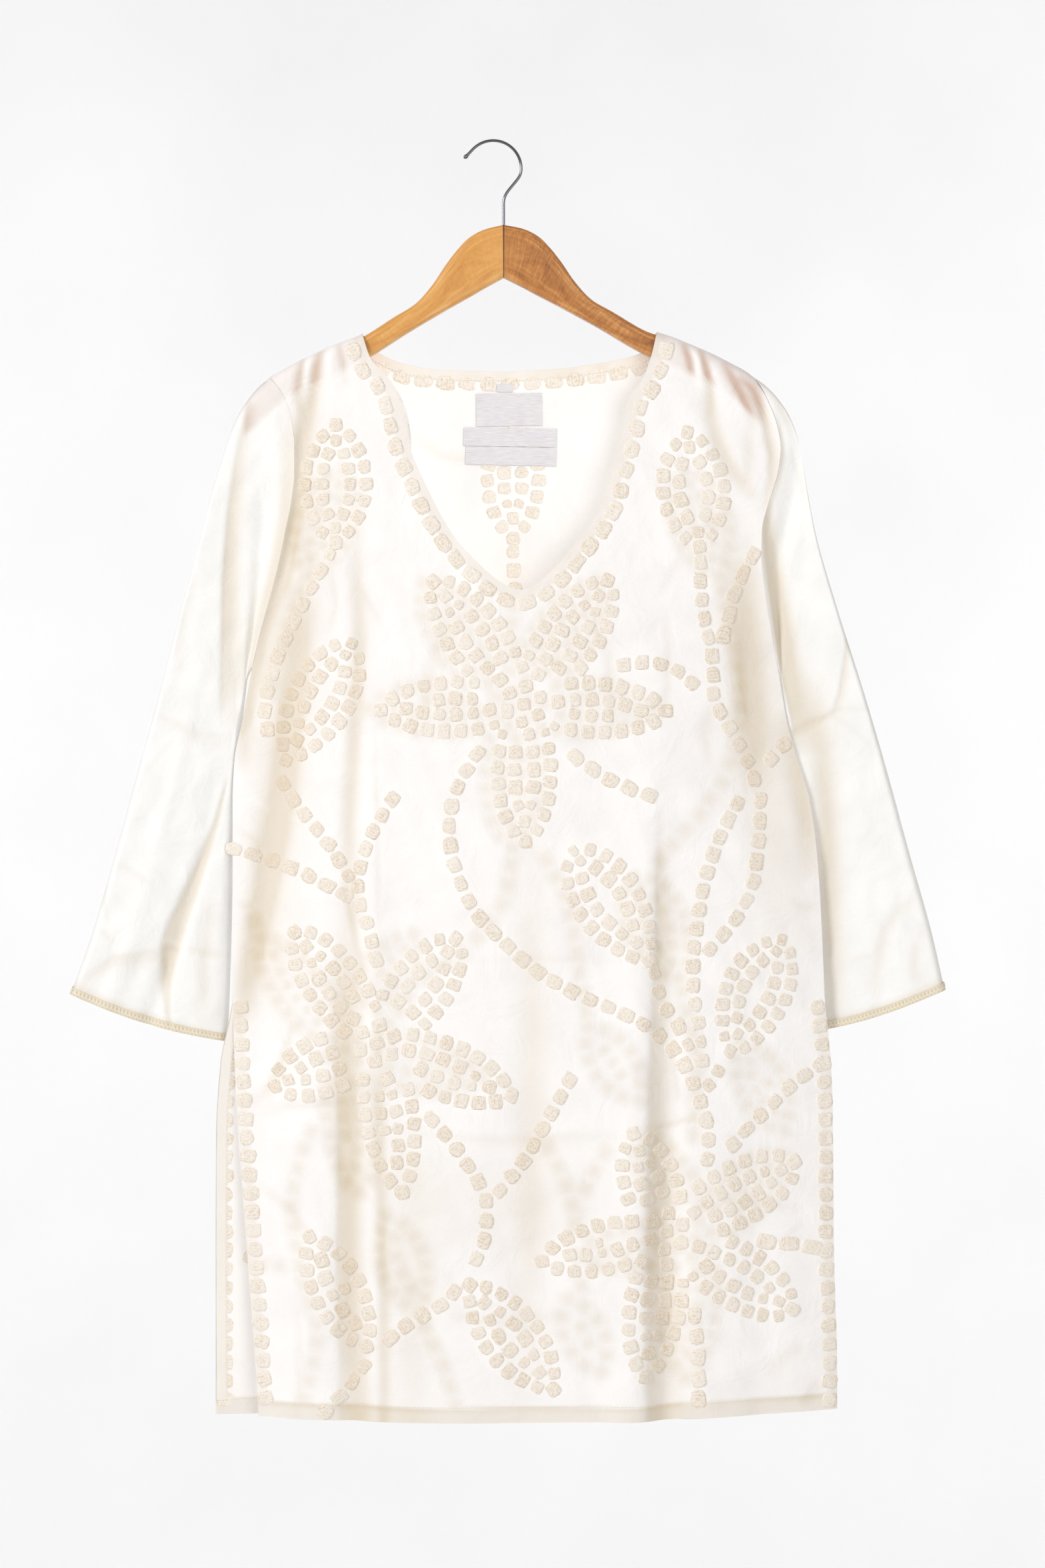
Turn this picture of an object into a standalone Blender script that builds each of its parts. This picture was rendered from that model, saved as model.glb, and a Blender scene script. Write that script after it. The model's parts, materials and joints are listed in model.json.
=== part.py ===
"""Kurta tunic of thin cotton with three-quarter sleeves, hung on a wooden hanger with a wire hook.

The origin is the inside top of the hook's crown, where a rail carries it. +X is the viewer's
right when the tunic's front is looked at, -Y is the front and +Z is up. Tables and sizes
are in millimetres and the meshes are made in metres.
"""

import math

import bpy
import numpy as np

MM = 0.001

# Cloth
CLOTH = 1.2                 # wall of the body and the sleeves
SEAM_GAP = 1.0              # between two pieces that are sewn together
LAID_GAP = 0.35             # between a wall and what is sewn onto its face
FACING_WALL = 0.8
FACING_WIDTH = 8.5
FACING_STATIONS = 40
LABEL_WALL = 0.6

# Hanger and hook
STEM_X = 8.0                # the hanger's middle, right of the crown
HANGER_TILT = 0.0227        # it hangs a little out of level, right arm up
ARM_HALF_THICK = 6.0
ARM_JOINT_GAP = 0.15        # from the middle to each arm's end face
WIRE = 2.3
BOWL_RADIUS = 22.5          # of the wire's middle line
BOWL_X = -0.3
STEM_GAP = 0.3              # from the wire's end to the wood

# Top of the garment
WRAP_RADIUS = 10.0          # height over which the cloth turns over the shoulder
UNDERARM_DROP = 232.0       # from the shoulder point down to the underarm

# Rows of a panel, as drops below its top edge. The first seven are the same in every column,
# and the rest stretch to the hem. The fourteenth is the underarm.
ROW_DROPS = (0, 1.5, 4, 7.5, 12, 20, 32, 60, 95, 135, 175, 205, 223, UNDERARM_DROP,
             262, 304, 346, 388, 430, 472, 514, 556, 598, 640, 682, 726, 778, 827)
FIXED_ROWS = 7
ARMHOLE_ROWS = 14
NECK_ENDS = (0, 1.2, 3.0, 5.5, 9.0, 15.0)   # columns close together where the neck edge turns over
EVEN_FROM, EVEN_BY = 12.0, 260.0            # drops between which the columns spread out evenly

# The top of the shoulder, the same both ways from the stem: out, height
SHOULDER = ((0.0, -90.8), (116.6, -152.6), (133.6, -158.5), (151.0, -165.9), (167.0, -173.3),
            (182.9, -181.8), (191.9, -186.8), (201.4, -194.5), (209.4, -203.0),
            (216.2, -212.0), (222.6, -222.6), (226.8, -234.8))

# Sides of the front: height, left, right. Armholes, then side seams, then slits.
FRONT_SIDES = ((-188, -178.0, 207.5), (-205, -166.0, 217.0), (-225, -160.0, 225.0),
               (-245, -158.0, 228.5), (-265, -158.0, 226.0), (-291, -161.0, 218.0),
               (-310, -165.0, 213.5), (-330, -169.0, 213.0), (-360, -176.5, 216.0),
               (-393, -186.0, 221.5), (-420, -192.5, 226.5), (-463, -200.5, 234.0),
               (-492, -206.5, 242.0), (-525, -208.0, 252.0), (-575, -208.0, 258.5),
               (-630, -208.0, 261.8), (-682, -208.0, 264.0), (-735, -206.2, 269.0),
               (-790, -203.3, 270.5), (-880, -196.4, 271.0), (-975, -189.4, 273.5),
               (-1018, -186.6, 273.5))

# Sides of the back: as the front down to the slits, then further left
BACK_SIDES = ((-188, -178.0, 207.5), (-205, -169.0, 214.0), (-245, -164.0, 220.0),
              (-291, -166.0, 216.0), (-330, -171.0, 213.0), (-360, -177.5, 216.0),
              (-393, -186.0, 221.5), (-420, -192.5, 226.5), (-463, -200.5, 234.0),
              (-492, -206.5, 242.0), (-525, -208.0, 252.0), (-575, -208.0, 258.5),
              (-630, -208.0, 261.8), (-682, -208.5, 264.0), (-735, -218.0, 265.0),
              (-790, -221.5, 264.5), (-880, -222.0, 263.5), (-1020, -222.0, 262.0))

# Neck edges: across, height
FRONT_NECK = ((-104.7, -153.1), (-97.8, -173.8), (-79.7, -195.5), (-74.5, -213.0),
              (-68.1, -240.0), (-55.9, -269.8), (-32.1, -314.3), (-11.4, -337.6),
              (5.0, -351.4), (15.5, -357.0), (23.1, -358.3), (30.0, -356.0), (49.6, -339.7),
              (63.3, -323.3), (84.5, -294.2),
              (95.7, -258.6), (103.6, -226.3), (107.3, -206.5), (117.4, -192.4),
              (125.3, -172.3), (130.1, -151.7))
BACK_NECK = ((-104.7, -153.1), (-98.0, -162.5), (-87.2, -169.6), (-69.2, -176.6),
             (-39.5, -180.7), (8.7, -181.8), (52.2, -179.5), (93.0, -173.8), (112.0, -169.5),
             (122.7, -163.5), (130.1, -151.7))

# Hem heights: share of the way across, height
FRONT_HEM = ((0.0, -1015.0), (0.22, -1016.5), (0.65, -1015.0), (1.0, -1009.0))
BACK_HEM = ((0.0, -1015.5), (0.40, -1018.0), (0.75, -1016.0), (1.0, -1011.0))

# How far each panel stands from the hanger's plane: height, at its sides, in its middle
FRONT_DEPTH = ((-150, 9.5, 9.5), (-215, 9.5, 11.0), (-260, 10.5, 13.0), (-330, 9.5, 16.5),
               (-380, 6.0, 19.0), (-425, 1.1, 20.5), (-560, 1.1, 23.5), (-682, 1.1, 25.5),
               (-740, 2.5, 26.5), (-1020, 6.0, 30.0))
BACK_DEPTH = ((-150, 9.5, 9.5), (-215, 9.5, 10.5), (-260, 10.5, 11.5), (-330, 9.0, 13.0),
              (-380, 5.0, 14.5), (-425, 1.1, 15.5), (-560, 1.1, 18.0), (-682, 1.1, 19.5),
              (-740, 2.0, 20.5), (-1020, 4.0, 24.0))

# Long folds: x and z at the top, x and z at the foot, half width, how far it sinks in
FRONT_FOLDS = ((126, -380, 110, -1020, 20, -5.0), (140, -480, 138, -1020, 14, 6.5),
               (-93, -400, -93, -760, 12, -2.0), (-105, -720, -106, -1020, 18, 5.0),
               (-176, -400, -189, -700, 12, 3.5), (18, -375, 24, -1020, 24, 2.0),
               (-138, -480, -148, -1020, 22, -2.5), (206, -480, 212, -1020, 18, 2.5))
BACK_FOLDS = ((-120, -360, -128, -1020, 20, 4.5), (-60, -300, -72, -1020, 22, -3.0),
              (20, -330, 28, -1020, 26, 3.0), (95, -360, 104, -1020, 20, -4.0),
              (150, -420, 152, -1020, 16, 5.0), (205, -480, 214, -1020, 18, -2.0))

# Sleeves: outer edge from shoulder to cuff, as x, z
LEFT_OUTER = ((-178.0, -188.0), (-188.4, -197.0), (-196.4, -207.0), (-202.7, -216.5),
              (-209.6, -232.0), (-214.9, -248.0), (-225.0, -280.0), (-232.8, -311.6),
              (-250.0, -375.0), (-266.5, -439.0), (-284.0, -502.0), (-301.5, -566.0),
              (-320.0, -630.0), (-337.4, -679.5))
RIGHT_OUTER = ((207.5, -188.0), (217.0, -195.0), (225.5, -204.0), (234.0, -216.5),
               (240.5, -232.0), (244.0, -248.0), (250.0, -280.0), (256.5, -311.6),
               (275.0, -375.0), (295.5, -439.0), (314.0, -502.0), (331.5, -566.0),
               (349.5, -630.0), (360.0, -676.0))

# Sleeves: underarm seam from the body to the cuff, as x, y, z. It drops behind the body.
LEFT_INNER = ((-193.2, 0.0, -420.0), (-197.0, 2.4, -428.0), (-199.0, 5.5, -440.0),
              (-200.5, 8.0, -455.0), (-204.0, 10.5, -480.0), (-207.0, 11.5, -520.0),
              (-209.0, 12.0, -580.0), (-210.5, 12.5, -640.0), (-213.3, 13.5, -718.0))
RIGHT_INNER = ((227.2, 0.0, -420.0), (231.0, 2.5, -428.0), (233.0, 5.5, -440.0),
               (234.5, 8.0, -455.0), (238.5, 10.5, -480.0), (243.0, 13.0, -520.0),
               (244.5, 16.0, -580.0), (243.5, 18.5, -640.0), (242.0, 20.0, -713.0))

# Folds along a sleeve: side, share and down at its top, share and down at its foot, half
# width as a share of the section, how far it sinks in
SLEEVE_FOLDS = ((-1, 0.42, 0.76, 1.0, 0.50, 0.06, 3.5), (-1, 0.25, 0.38, 1.0, 0.24, 0.07, -1.8),
                (1, 0.30, 0.66, 1.0, 0.44, 0.08, 0.7), (1, 0.50, 0.28, 1.0, 0.20, 0.07, -0.7))

# Sleeves: share of the length, half thickness, set-back of the outer edge
SLEEVE_BODY = ((0.0, 9.5, 0.0), (0.08, 9.0, 0.0), (0.25, 9.5, 1.0), (0.6, 9.5, 3.0),
               (1.0, 8.5, 4.0))
SLEEVE_STATIONS = (0, 0.02, 0.045, 0.075, 0.11, 0.155, 0.21, 0.28, 0.36, 0.44, 0.52, 0.60,
                   0.68, 0.76, 0.84, 0.92, 1.0)
SLEEVE_SETTLES = 0.35       # share of the length by which the armhole's curve has faded
OUTER_ROUND = 10.0          # how soon a sleeve reaches its thickness from its outer edge
INNER_ROUND = 16.0
CUFF_SAG = 5.0
VALLEY_DEPTH = 4.5          # the sleeve dips beside the armhole
VALLEY_AT = 0.06
TRIM_WIDTH = 6.0
TRIM_WALL = 1.0

# Labels on the back's inner face: name, middle x, middle z, width, height, turn in degrees
LABELS = (("label_size", 9.0, -195.2, 13.0, 6.4, 0.0),
          ("label_main", 12.5, -212.6, 53.0, 26.0, 0.5),
          ("label_care_upper", 13.4, -234.6, 75.0, 14.5, -0.9),
          ("label_care_lower", 14.0, -249.6, 73.0, 14.5, -1.4))

# An arm of the hanger: top edge out and height, bottom edge out and height, share of thickness
ARM_SECTIONS = ((0.0, -66.5, 0.0, -108.7, 1.0), (15.4, -70.0, 8.0, -112.9, 1.0),
                (27.6, -76.3, 15.9, -117.1, 1.0), (37.6, -86.4, 24.4, -121.9, 1.0),
                (46.6, -98.1, 33.4, -126.7, 1.0), (56.2, -112.4, 44.0, -132.5, 1.0),
                (70.0, -127.7, 57.2, -139.9, 1.0), (87.5, -138.3, 75.8, -150.5, 1.0),
                (115.0, -154.6, 104.4, -168.0, 1.0), (133.6, -160.7, 125.1, -178.6, 1.0),
                (151.1, -168.1, 142.0, -186.0, 1.0), (167.0, -175.5, 157.4, -193.5, 1.0),
                (182.9, -184.2, 172.8, -201.4, 0.98), (194.0, -194.2, 182.5, -209.5, 0.95),
                (201.5, -204.0, 191.0, -217.5, 0.9), (206.5, -214.5, 198.5, -224.5, 0.8),
                (208.5, -223.5, 205.0, -229.0, 0.45))
ARM_RING = 16
ARM_SQUARENESS = 3.2

# The hook below its bowl: x, z. The last point is the foot of the stem.
HOOK_NECK = ((18.4, -30.6), (13.8, -37.0), (9.6, -42.8), (8.1, -47.5), (8.0, -52.0))
BOWL_FROM, BOWL_TO = 160.0, -20.0
TIP_SWELL = 1.5


def level_slopes(knots, values):
    """Slopes for Hermite pieces that never run past the table's own values."""
    rise = np.diff(values, axis=0) / np.diff(knots)[:, None]
    slopes = np.zeros_like(values)
    product = rise[:-1] * rise[1:]
    total = np.where(product > 0, rise[:-1] + rise[1:], 1.0)
    slopes[1:-1] = np.where(product > 0, 2 * product / total, 0.0)
    slopes[0], slopes[-1] = rise[0], rise[-1]
    return slopes


def smooth(table, at):
    """Each later column of the table at the first column's values, by cubic Hermite pieces."""
    rows = np.array(table, float)
    order = np.argsort(rows[:, 0])
    knots, values = rows[order, 0], rows[order, 1:]
    slopes = level_slopes(knots, values)
    at = np.clip(at, knots[0], knots[-1])
    k = np.clip(np.searchsorted(knots, at, side="right") - 1, 0, len(knots) - 2)
    step = (knots[k + 1] - knots[k])[..., None]
    t = ((at - knots[k]) / (knots[k + 1] - knots[k]))[..., None]
    found = ((1 + 2 * t) * (1 - t) ** 2 * values[k] + t * (1 - t) ** 2 * step * slopes[k]
             + t * t * (3 - 2 * t) * values[k + 1] - t * t * (1 - t) * step * slopes[k + 1])
    return np.moveaxis(found, -1, 0)


def along(path, shares):
    """Points at these shares of a path's length."""
    points = np.array(path, float)
    steps = np.linalg.norm(np.diff(points, axis=0), axis=1)
    lengths = np.concatenate([[0], np.cumsum(steps)])
    table = np.column_stack([lengths / lengths[-1], points])
    return np.stack(smooth(table, np.asarray(shares, float)), axis=-1)


def path_length(path):
    return np.linalg.norm(np.diff(np.array(path, float), axis=0), axis=1).sum()


def turn_in(drop, radius):
    """0 on an edge that turns over, 1 from a radius below it, as a quarter circle."""
    left = 1 - np.clip(drop / radius, 0, 1)
    return np.sqrt(np.maximum(1 - left * left, 0))


def shoulder_z(x):
    return smooth(SHOULDER, np.abs(x - STEM_X))[0] + HANGER_TILT * (x - STEM_X)


def fold_depth(x, z, folds):
    """Sum of long soft folds, each a bell across and rising from nothing at its top."""
    total = np.zeros(np.broadcast(x, z).shape)
    for x_top, z_top, x_foot, z_foot, half_width, depth in folds:
        down = np.clip((z_top - z) / (z_top - z_foot), 0, 1)
        middle = x_top + (x_foot - x_top) * down
        total += depth * np.sin(down * math.pi / 2) * np.exp(-((x - middle) / half_width) ** 2)
    return total


def panel_y(x, z, sides, depths, folds):
    """Distance of a panel's mid surface from the hanger's plane."""
    left, right = smooth(sides, z)
    at_side, at_middle = smooth(depths, z)
    across = np.clip((x - left) / (right - left), 0, 1)
    crown = 1 - np.abs(2 * across - 1) ** 2.6
    away = at_side + (at_middle - at_side) * crown
    inner = np.clip(crown * 4, 0, 1)
    away = away - fold_depth(x, z, folds) * inner
    return away * turn_in(shoulder_z(x) - z, WRAP_RADIUS)


def front_y(x, z):
    return -panel_y(x, z, FRONT_SIDES, FRONT_DEPTH, FRONT_FOLDS)


def back_y(x, z):
    return panel_y(x, z, BACK_SIDES, BACK_DEPTH, BACK_FOLDS)


def top_edge(neck, sides, shoulder_steps, neck_steps):
    """Points of a panel's top edge: left shoulder seam, neck, right shoulder seam."""
    ends = np.array(NECK_ENDS) / path_length(neck)
    middle = np.linspace(ends[-1], 1 - ends[-1], neck_steps + 1)
    neck_points = along(neck, np.concatenate([ends[:-1], middle, 1 - ends[-2::-1]]))
    runs = []
    for start, stop in ((sides[0][1], neck[0][0]), (neck[-1][0], sides[0][2])):
        x = np.linspace(start, stop, shoulder_steps + 1)
        runs.append(np.column_stack([x, shoulder_z(x)]))
    return np.vstack([runs[0][:-1], neck_points, runs[1][1:]])


def panel_grid(neck, sides, hem, depth_at, steps):
    """Mid surface of a panel, as rows from the top edge to the hem."""
    top = top_edge(neck, sides, *steps)
    left, right = smooth(sides, top[:, 1])
    across = (top[:, 0] - left) / (right - left)
    drops = np.array(ROW_DROPS, float)[:, None]
    full = top[:, 1] - smooth(hem, across)[0]
    fixed = drops[FIXED_ROWS - 1]
    stretched = fixed + (drops - fixed) * (full - fixed) / (drops[-1] - fixed)
    z = top[:, 1] - np.where(drops <= fixed, drops, stretched)
    even = np.linspace(0, 1, len(top))
    spread = np.clip((drops - EVEN_FROM) / (EVEN_BY - EVEN_FROM), 0, 1)
    across = across + (even - across) * spread * spread * (3 - 2 * spread)
    left, right = smooth(sides, z)
    x = left + across * (right - left)
    y = depth_at(x, z)
    y[0, ~on_neck(top, neck)] = math.copysign(SEAM_GAP / 2, y[-1, 0])
    return np.stack([x, y, z], axis=-1)


def on_neck(top, neck):
    return (top[:, 0] > neck[0][0] + 1e-6) & (top[:, 0] < neck[-1][0] - 1e-6)


def grid_normals(grid, closed=False):
    """Unit normals of a grid, from the differences between its neighbours."""
    if closed:
        around = np.roll(grid, -1, axis=1) - np.roll(grid, 1, axis=1)
    else:
        around = np.gradient(grid, axis=1)
    normals = np.cross(around, np.gradient(grid, axis=0))
    return normals / np.linalg.norm(normals, axis=-1, keepdims=True)


def sleeve_folds(side, share, down):
    total = np.zeros(share.shape)
    for fold_side, from_share, from_down, to_share, to_down, half_width, depth in SLEEVE_FOLDS:
        if fold_side == side:
            run = np.clip((share - from_share) / (to_share - from_share), 0, 1)
            middle = from_down + (to_down - from_down) * run
            bell = np.exp(-((down - middle) / half_width) ** 2)
            total += depth * np.sin(run * math.pi / 2) * bell
    return total


def sleeve_point(side, share, down, front):
    """Mid surface of a sleeve. share runs from the armhole to the cuff, down from the outer
    edge to the underarm seam, and front is True on the half that faces the viewer."""
    outer, inner = (LEFT_OUTER, LEFT_INNER) if side < 0 else (RIGHT_OUTER, RIGHT_INNER)
    share, down = np.broadcast_arrays(share, down)
    half_thick, set_back = smooth(SLEEVE_BODY, share)
    top = along([(x, 0, z) for x, z in outer], share)
    top[..., 1] = set_back
    foot = along(inner, share)
    point = top + (foot - top) * down[..., None]
    point[..., 2] -= CUFF_SAG * np.sin(math.pi * down) * share ** 3
    fades = np.clip(1 - share / SLEEVE_SETTLES, 0, 1) ** 2
    armhole_z = outer[0][1] - down * UNDERARM_DROP
    sides, depths = (FRONT_SIDES, FRONT_DEPTH) if front else (BACK_SIDES, BACK_DEPTH)
    left, right = smooth(sides, armhole_z)
    edge = left - SEAM_GAP if side < 0 else right + SEAM_GAP
    chord = outer[0][0] + (inner[0][0] - outer[0][0]) * down
    point[..., 0] += fades * (edge - chord)
    width = np.linalg.norm(foot - top, axis=-1)
    wall = turn_in(down * width, OUTER_ROUND) * turn_in((1 - down) * width, INNER_ROUND)
    bulge = half_thick * wall
    open_edge = smooth(depths, armhole_z)[0] * turn_in(down * UNDERARM_DROP, WRAP_RADIUS)
    open_edge = open_edge * np.where(down > 1 - 1e-6, 0, 1)
    bulge = bulge + (open_edge - bulge) * fades ** 3
    valley = np.exp(-((share - VALLEY_AT) / 0.035) ** 2) * np.clip(down * 4 - 0.6, 0, 1)
    valley = valley * np.clip((1 - down) * 5, 0, 1) * (share > 0)
    bulge = bulge - VALLEY_DEPTH * valley * (1.0 if front else 0.5)
    bulge = bulge - sleeve_folds(side, share, down) * wall
    point[..., 1] += -bulge if front else bulge
    return point


def sleeve_rings(side, shares):
    """Closed rings of a sleeve, from the outer edge down its front and up its back."""
    down = np.array(ROW_DROPS[:ARMHOLE_ROWS], float) / UNDERARM_DROP
    front = sleeve_point(side, shares, down[None, :], True)
    back = sleeve_point(side, shares, down[None, -2:0:-1], False)
    return np.concatenate([front, back], axis=1)


def principled(name, colour, roughness, metallic=0.0):
    material = bpy.data.materials.new(name)
    material.use_nodes = True
    shader = material.node_tree.nodes["Principled BSDF"]
    shader.inputs["Base Color"].default_value = (*colour, 1.0)
    shader.inputs["Roughness"].default_value = roughness
    shader.inputs["Metallic"].default_value = metallic
    return material


def add_mesh(name, points, faces, material, parent):
    mesh = bpy.data.meshes.new(name)
    mesh.from_pydata((np.asarray(points) * MM).tolist(), [], faces)
    mesh.materials.append(material)
    mesh.shade_smooth()
    mesh.set_sharp_from_angle(angle=math.radians(40))
    made = bpy.data.objects.new(name, mesh)
    bpy.context.scene.collection.objects.link(made)
    made.parent = parent
    return made


def grid_faces(rows, columns, closed=False):
    last = columns if closed else columns - 1
    return [(r * columns + c, (r + 1) * columns + c,
             (r + 1) * columns + (c + 1) % columns, r * columns + (c + 1) % columns)
            for r in range(rows - 1) for c in range(last)]


def add_wall(name, grid, wall, material, parent, closed=False):
    """A sheet with its mid surface on the grid. Solidify gives it its wall."""
    rows, columns = grid.shape[:2]
    faces = grid_faces(rows, columns, closed)
    made = add_mesh(name, grid.reshape(-1, 3), faces, material, parent)
    solid = made.modifiers.new("wall", "SOLIDIFY")
    solid.thickness = wall * MM
    solid.offset = 0.0
    solid.use_rim = True
    solid.use_quality_normals = True
    return made


def add_panels(material, parent):
    front = panel_grid(FRONT_NECK, FRONT_SIDES, FRONT_HEM, front_y, (5, 18))
    back = panel_grid(BACK_NECK, BACK_SIDES, BACK_HEM, back_y, (5, 10))
    add_wall("front_panel", front[:, ::-1], CLOTH, material, parent)
    add_wall("back_panel", back, CLOTH, material, parent)


def add_sleeves(material, parent):
    shares = np.array(SLEEVE_STATIONS)[:, None]
    for side, name in ((-1, "sleeve_left"), (1, "sleeve_right")):
        rings = sleeve_rings(side, shares)
        add_wall(name, rings[:, ::side], CLOTH, material, parent, closed=True)


def add_cuff_trims(material, parent):
    """A braid round each cuff: the last of the sleeve's surface, moved out."""
    down = np.array(ROW_DROPS[:ARMHOLE_ROWS], float) / UNDERARM_DROP
    for side, name in ((-1, "cuff_trim_left"), (1, "cuff_trim_right")):
        outer, inner = (LEFT_OUTER, LEFT_INNER) if side < 0 else (RIGHT_OUTER, RIGHT_INNER)
        long_way, short_way = path_length(outer), path_length(inner)
        ups = np.array([TRIM_WIDTH, TRIM_WIDTH / 2, 0])[:, None]
        front = 1 - ups / (long_way + (short_way - long_way) * down[None, :])
        back = 1 - ups / (long_way + (short_way - long_way) * down[None, -2:0:-1])
        grid = np.concatenate([sleeve_point(side, front, down[None, :], True),
                               sleeve_point(side, back, down[None, -2:0:-1], False)], axis=1)
        away = grid_normals(grid, closed=True)
        away *= np.sign((away[..., 1] * (grid[..., 1] - grid[..., 1].mean())).sum())
        out = CLOTH / 2 + LAID_GAP + TRIM_WALL / 2
        add_wall(name, (grid + away * out)[:, ::side], TRIM_WALL, material, parent, closed=True)


def facing_grid(neck, depth_at, inward):
    """A strip under a neck edge, on the panel's inner face."""
    path = along(neck, np.linspace(0.03, 0.97, FACING_STATIONS))
    tangent = np.gradient(path, axis=0)
    tangent /= np.linalg.norm(tangent, axis=1, keepdims=True)
    into_cloth = np.column_stack([tangent[:, 1], -tangent[:, 0]])
    offsets = np.array([0.6, FACING_WIDTH / 2, FACING_WIDTH])[:, None, None]
    flat = path + into_cloth * offsets
    x, z = flat[..., 0], np.minimum(flat[..., 1], shoulder_z(flat[..., 0]) - 3.0)
    grid = np.stack([x, depth_at(x, z), z], axis=-1)
    normals = grid_normals(grid)
    normals *= np.sign(normals[..., 1:2]) * inward
    return grid + normals * (CLOTH / 2 + LAID_GAP + FACING_WALL / 2)


def add_facings(material, parent):
    front = facing_grid(FRONT_NECK, front_y, 1.0)
    back = facing_grid(BACK_NECK, back_y, -1.0)
    add_wall("neck_facing_front", front[:, ::-1], FACING_WALL, material, parent)
    add_wall("neck_facing_back", back, FACING_WALL, material, parent)


def add_labels(material, parent):
    """Plain woven tabs, laid on the back's inner face."""
    for name, middle_x, middle_z, width, height, degrees in LABELS:
        across = np.linspace(-width / 2, width / 2, 7)[None, :]
        up = np.linspace(height / 2, -height / 2, 4)[:, None]
        turn = math.radians(degrees)
        x = middle_x + across * math.cos(turn) - up * math.sin(turn)
        z = middle_z + across * math.sin(turn) + up * math.cos(turn)
        y = back_y(x, z) - CLOTH / 2 - LAID_GAP - LABEL_WALL / 2
        add_wall(name, np.stack([x, y, z], axis=-1), LABEL_WALL, material, parent)


def add_arm(name, side, material, parent):
    """One half of the hanger: rounded sections carried from the middle joint to the tip."""
    rows = np.array(ARM_SECTIONS)
    angles = np.linspace(0, 2 * math.pi, ARM_RING, endpoint=False) + math.pi / ARM_RING
    power = 2 / ARM_SQUARENESS
    up = np.sign(np.cos(angles)) * np.abs(np.cos(angles)) ** power
    out = np.sign(np.sin(angles)) * np.abs(np.sin(angles)) ** power
    rings = []
    for top_out, top_z, foot_out, foot_z, thick in rows:
        middle = np.array([(top_out + foot_out) / 2, (top_z + foot_z) / 2])
        half = np.array([(top_out - foot_out) / 2, (top_z - foot_z) / 2])
        across = middle[0] + half[0] * up + ARM_JOINT_GAP
        height = middle[1] + half[1] * up + HANGER_TILT * side * across
        rings.append(np.column_stack([STEM_X + side * across,
                                      ARM_HALF_THICK * thick * out, height]))
    count = len(rings)
    faces = grid_faces(count, ARM_RING, closed=True)
    faces.append(tuple(range(ARM_RING)))
    faces.append(tuple(range(count * ARM_RING - 1, (count - 1) * ARM_RING - 1, -1)))
    if side < 0:
        faces = [face[::-1] for face in faces]
    add_mesh(name, np.vstack(rings), faces, material, parent)


def add_hook(material, parent):
    """Bent wire: an arc for the bowl, a slanting neck and a stem, with a swollen tip."""
    angles = np.radians(np.linspace(BOWL_FROM, BOWL_TO, 22))
    middle_z = WIRE / 2 - BOWL_RADIUS
    bowl = np.column_stack([BOWL_X + BOWL_RADIUS * np.cos(angles),
                            middle_z + BOWL_RADIUS * np.sin(angles)])
    foot_z = ARM_SECTIONS[0][1] + STEM_GAP
    neck = along(np.vstack([bowl[-1], HOOK_NECK]), np.linspace(0.12, 1, 10))
    path = np.vstack([bowl, neck, [(STEM_X, foot_z)]])
    curve = bpy.data.curves.new("hook", "CURVE")
    curve.dimensions = "3D"
    curve.bevel_depth = WIRE / 2 * MM
    curve.bevel_resolution = 2
    curve.use_fill_caps = True
    spline = curve.splines.new("POLY")
    spline.points.add(len(path) - 1)
    for index, (x, z) in enumerate(path):
        spline.points[index].co = (x * MM, 0, z * MM, 1)
        spline.points[index].radius = TIP_SWELL if index == 1 else 1.0
    curve.materials.append(material)
    made = bpy.data.objects.new("hook", curve)
    bpy.context.scene.collection.objects.link(made)
    made.parent = parent


def clear_scene():
    for old in list(bpy.data.objects):
        bpy.data.objects.remove(old, do_unlink=True)


def build():
    clear_scene()
    holder = bpy.data.objects.new("hook_seat", None)
    bpy.context.scene.collection.objects.link(holder)
    cotton = principled("cotton_voile", (0.93, 0.91, 0.87), 0.85)
    facing = principled("cotton_facing", (0.88, 0.84, 0.76), 0.85)
    braid = principled("cotton_braid", (0.72, 0.62, 0.45), 0.7)
    satin = principled("label_satin", (0.78, 0.77, 0.79), 0.5)
    honey = principled("beech_honey", (0.70, 0.38, 0.12), 0.35)
    amber = principled("beech_amber", (0.45, 0.21, 0.08), 0.35)
    steel = principled("plated_wire", (0.55, 0.56, 0.58), 0.25, 1.0)
    add_panels(cotton, holder)
    add_sleeves(cotton, holder)
    add_cuff_trims(braid, holder)
    add_facings(facing, holder)
    add_labels(satin, holder)
    add_arm("hanger_left", -1, honey, holder)
    add_arm("hanger_right", 1, amber, holder)
    add_hook(steel, holder)


build()
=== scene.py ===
import json
import math

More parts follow.
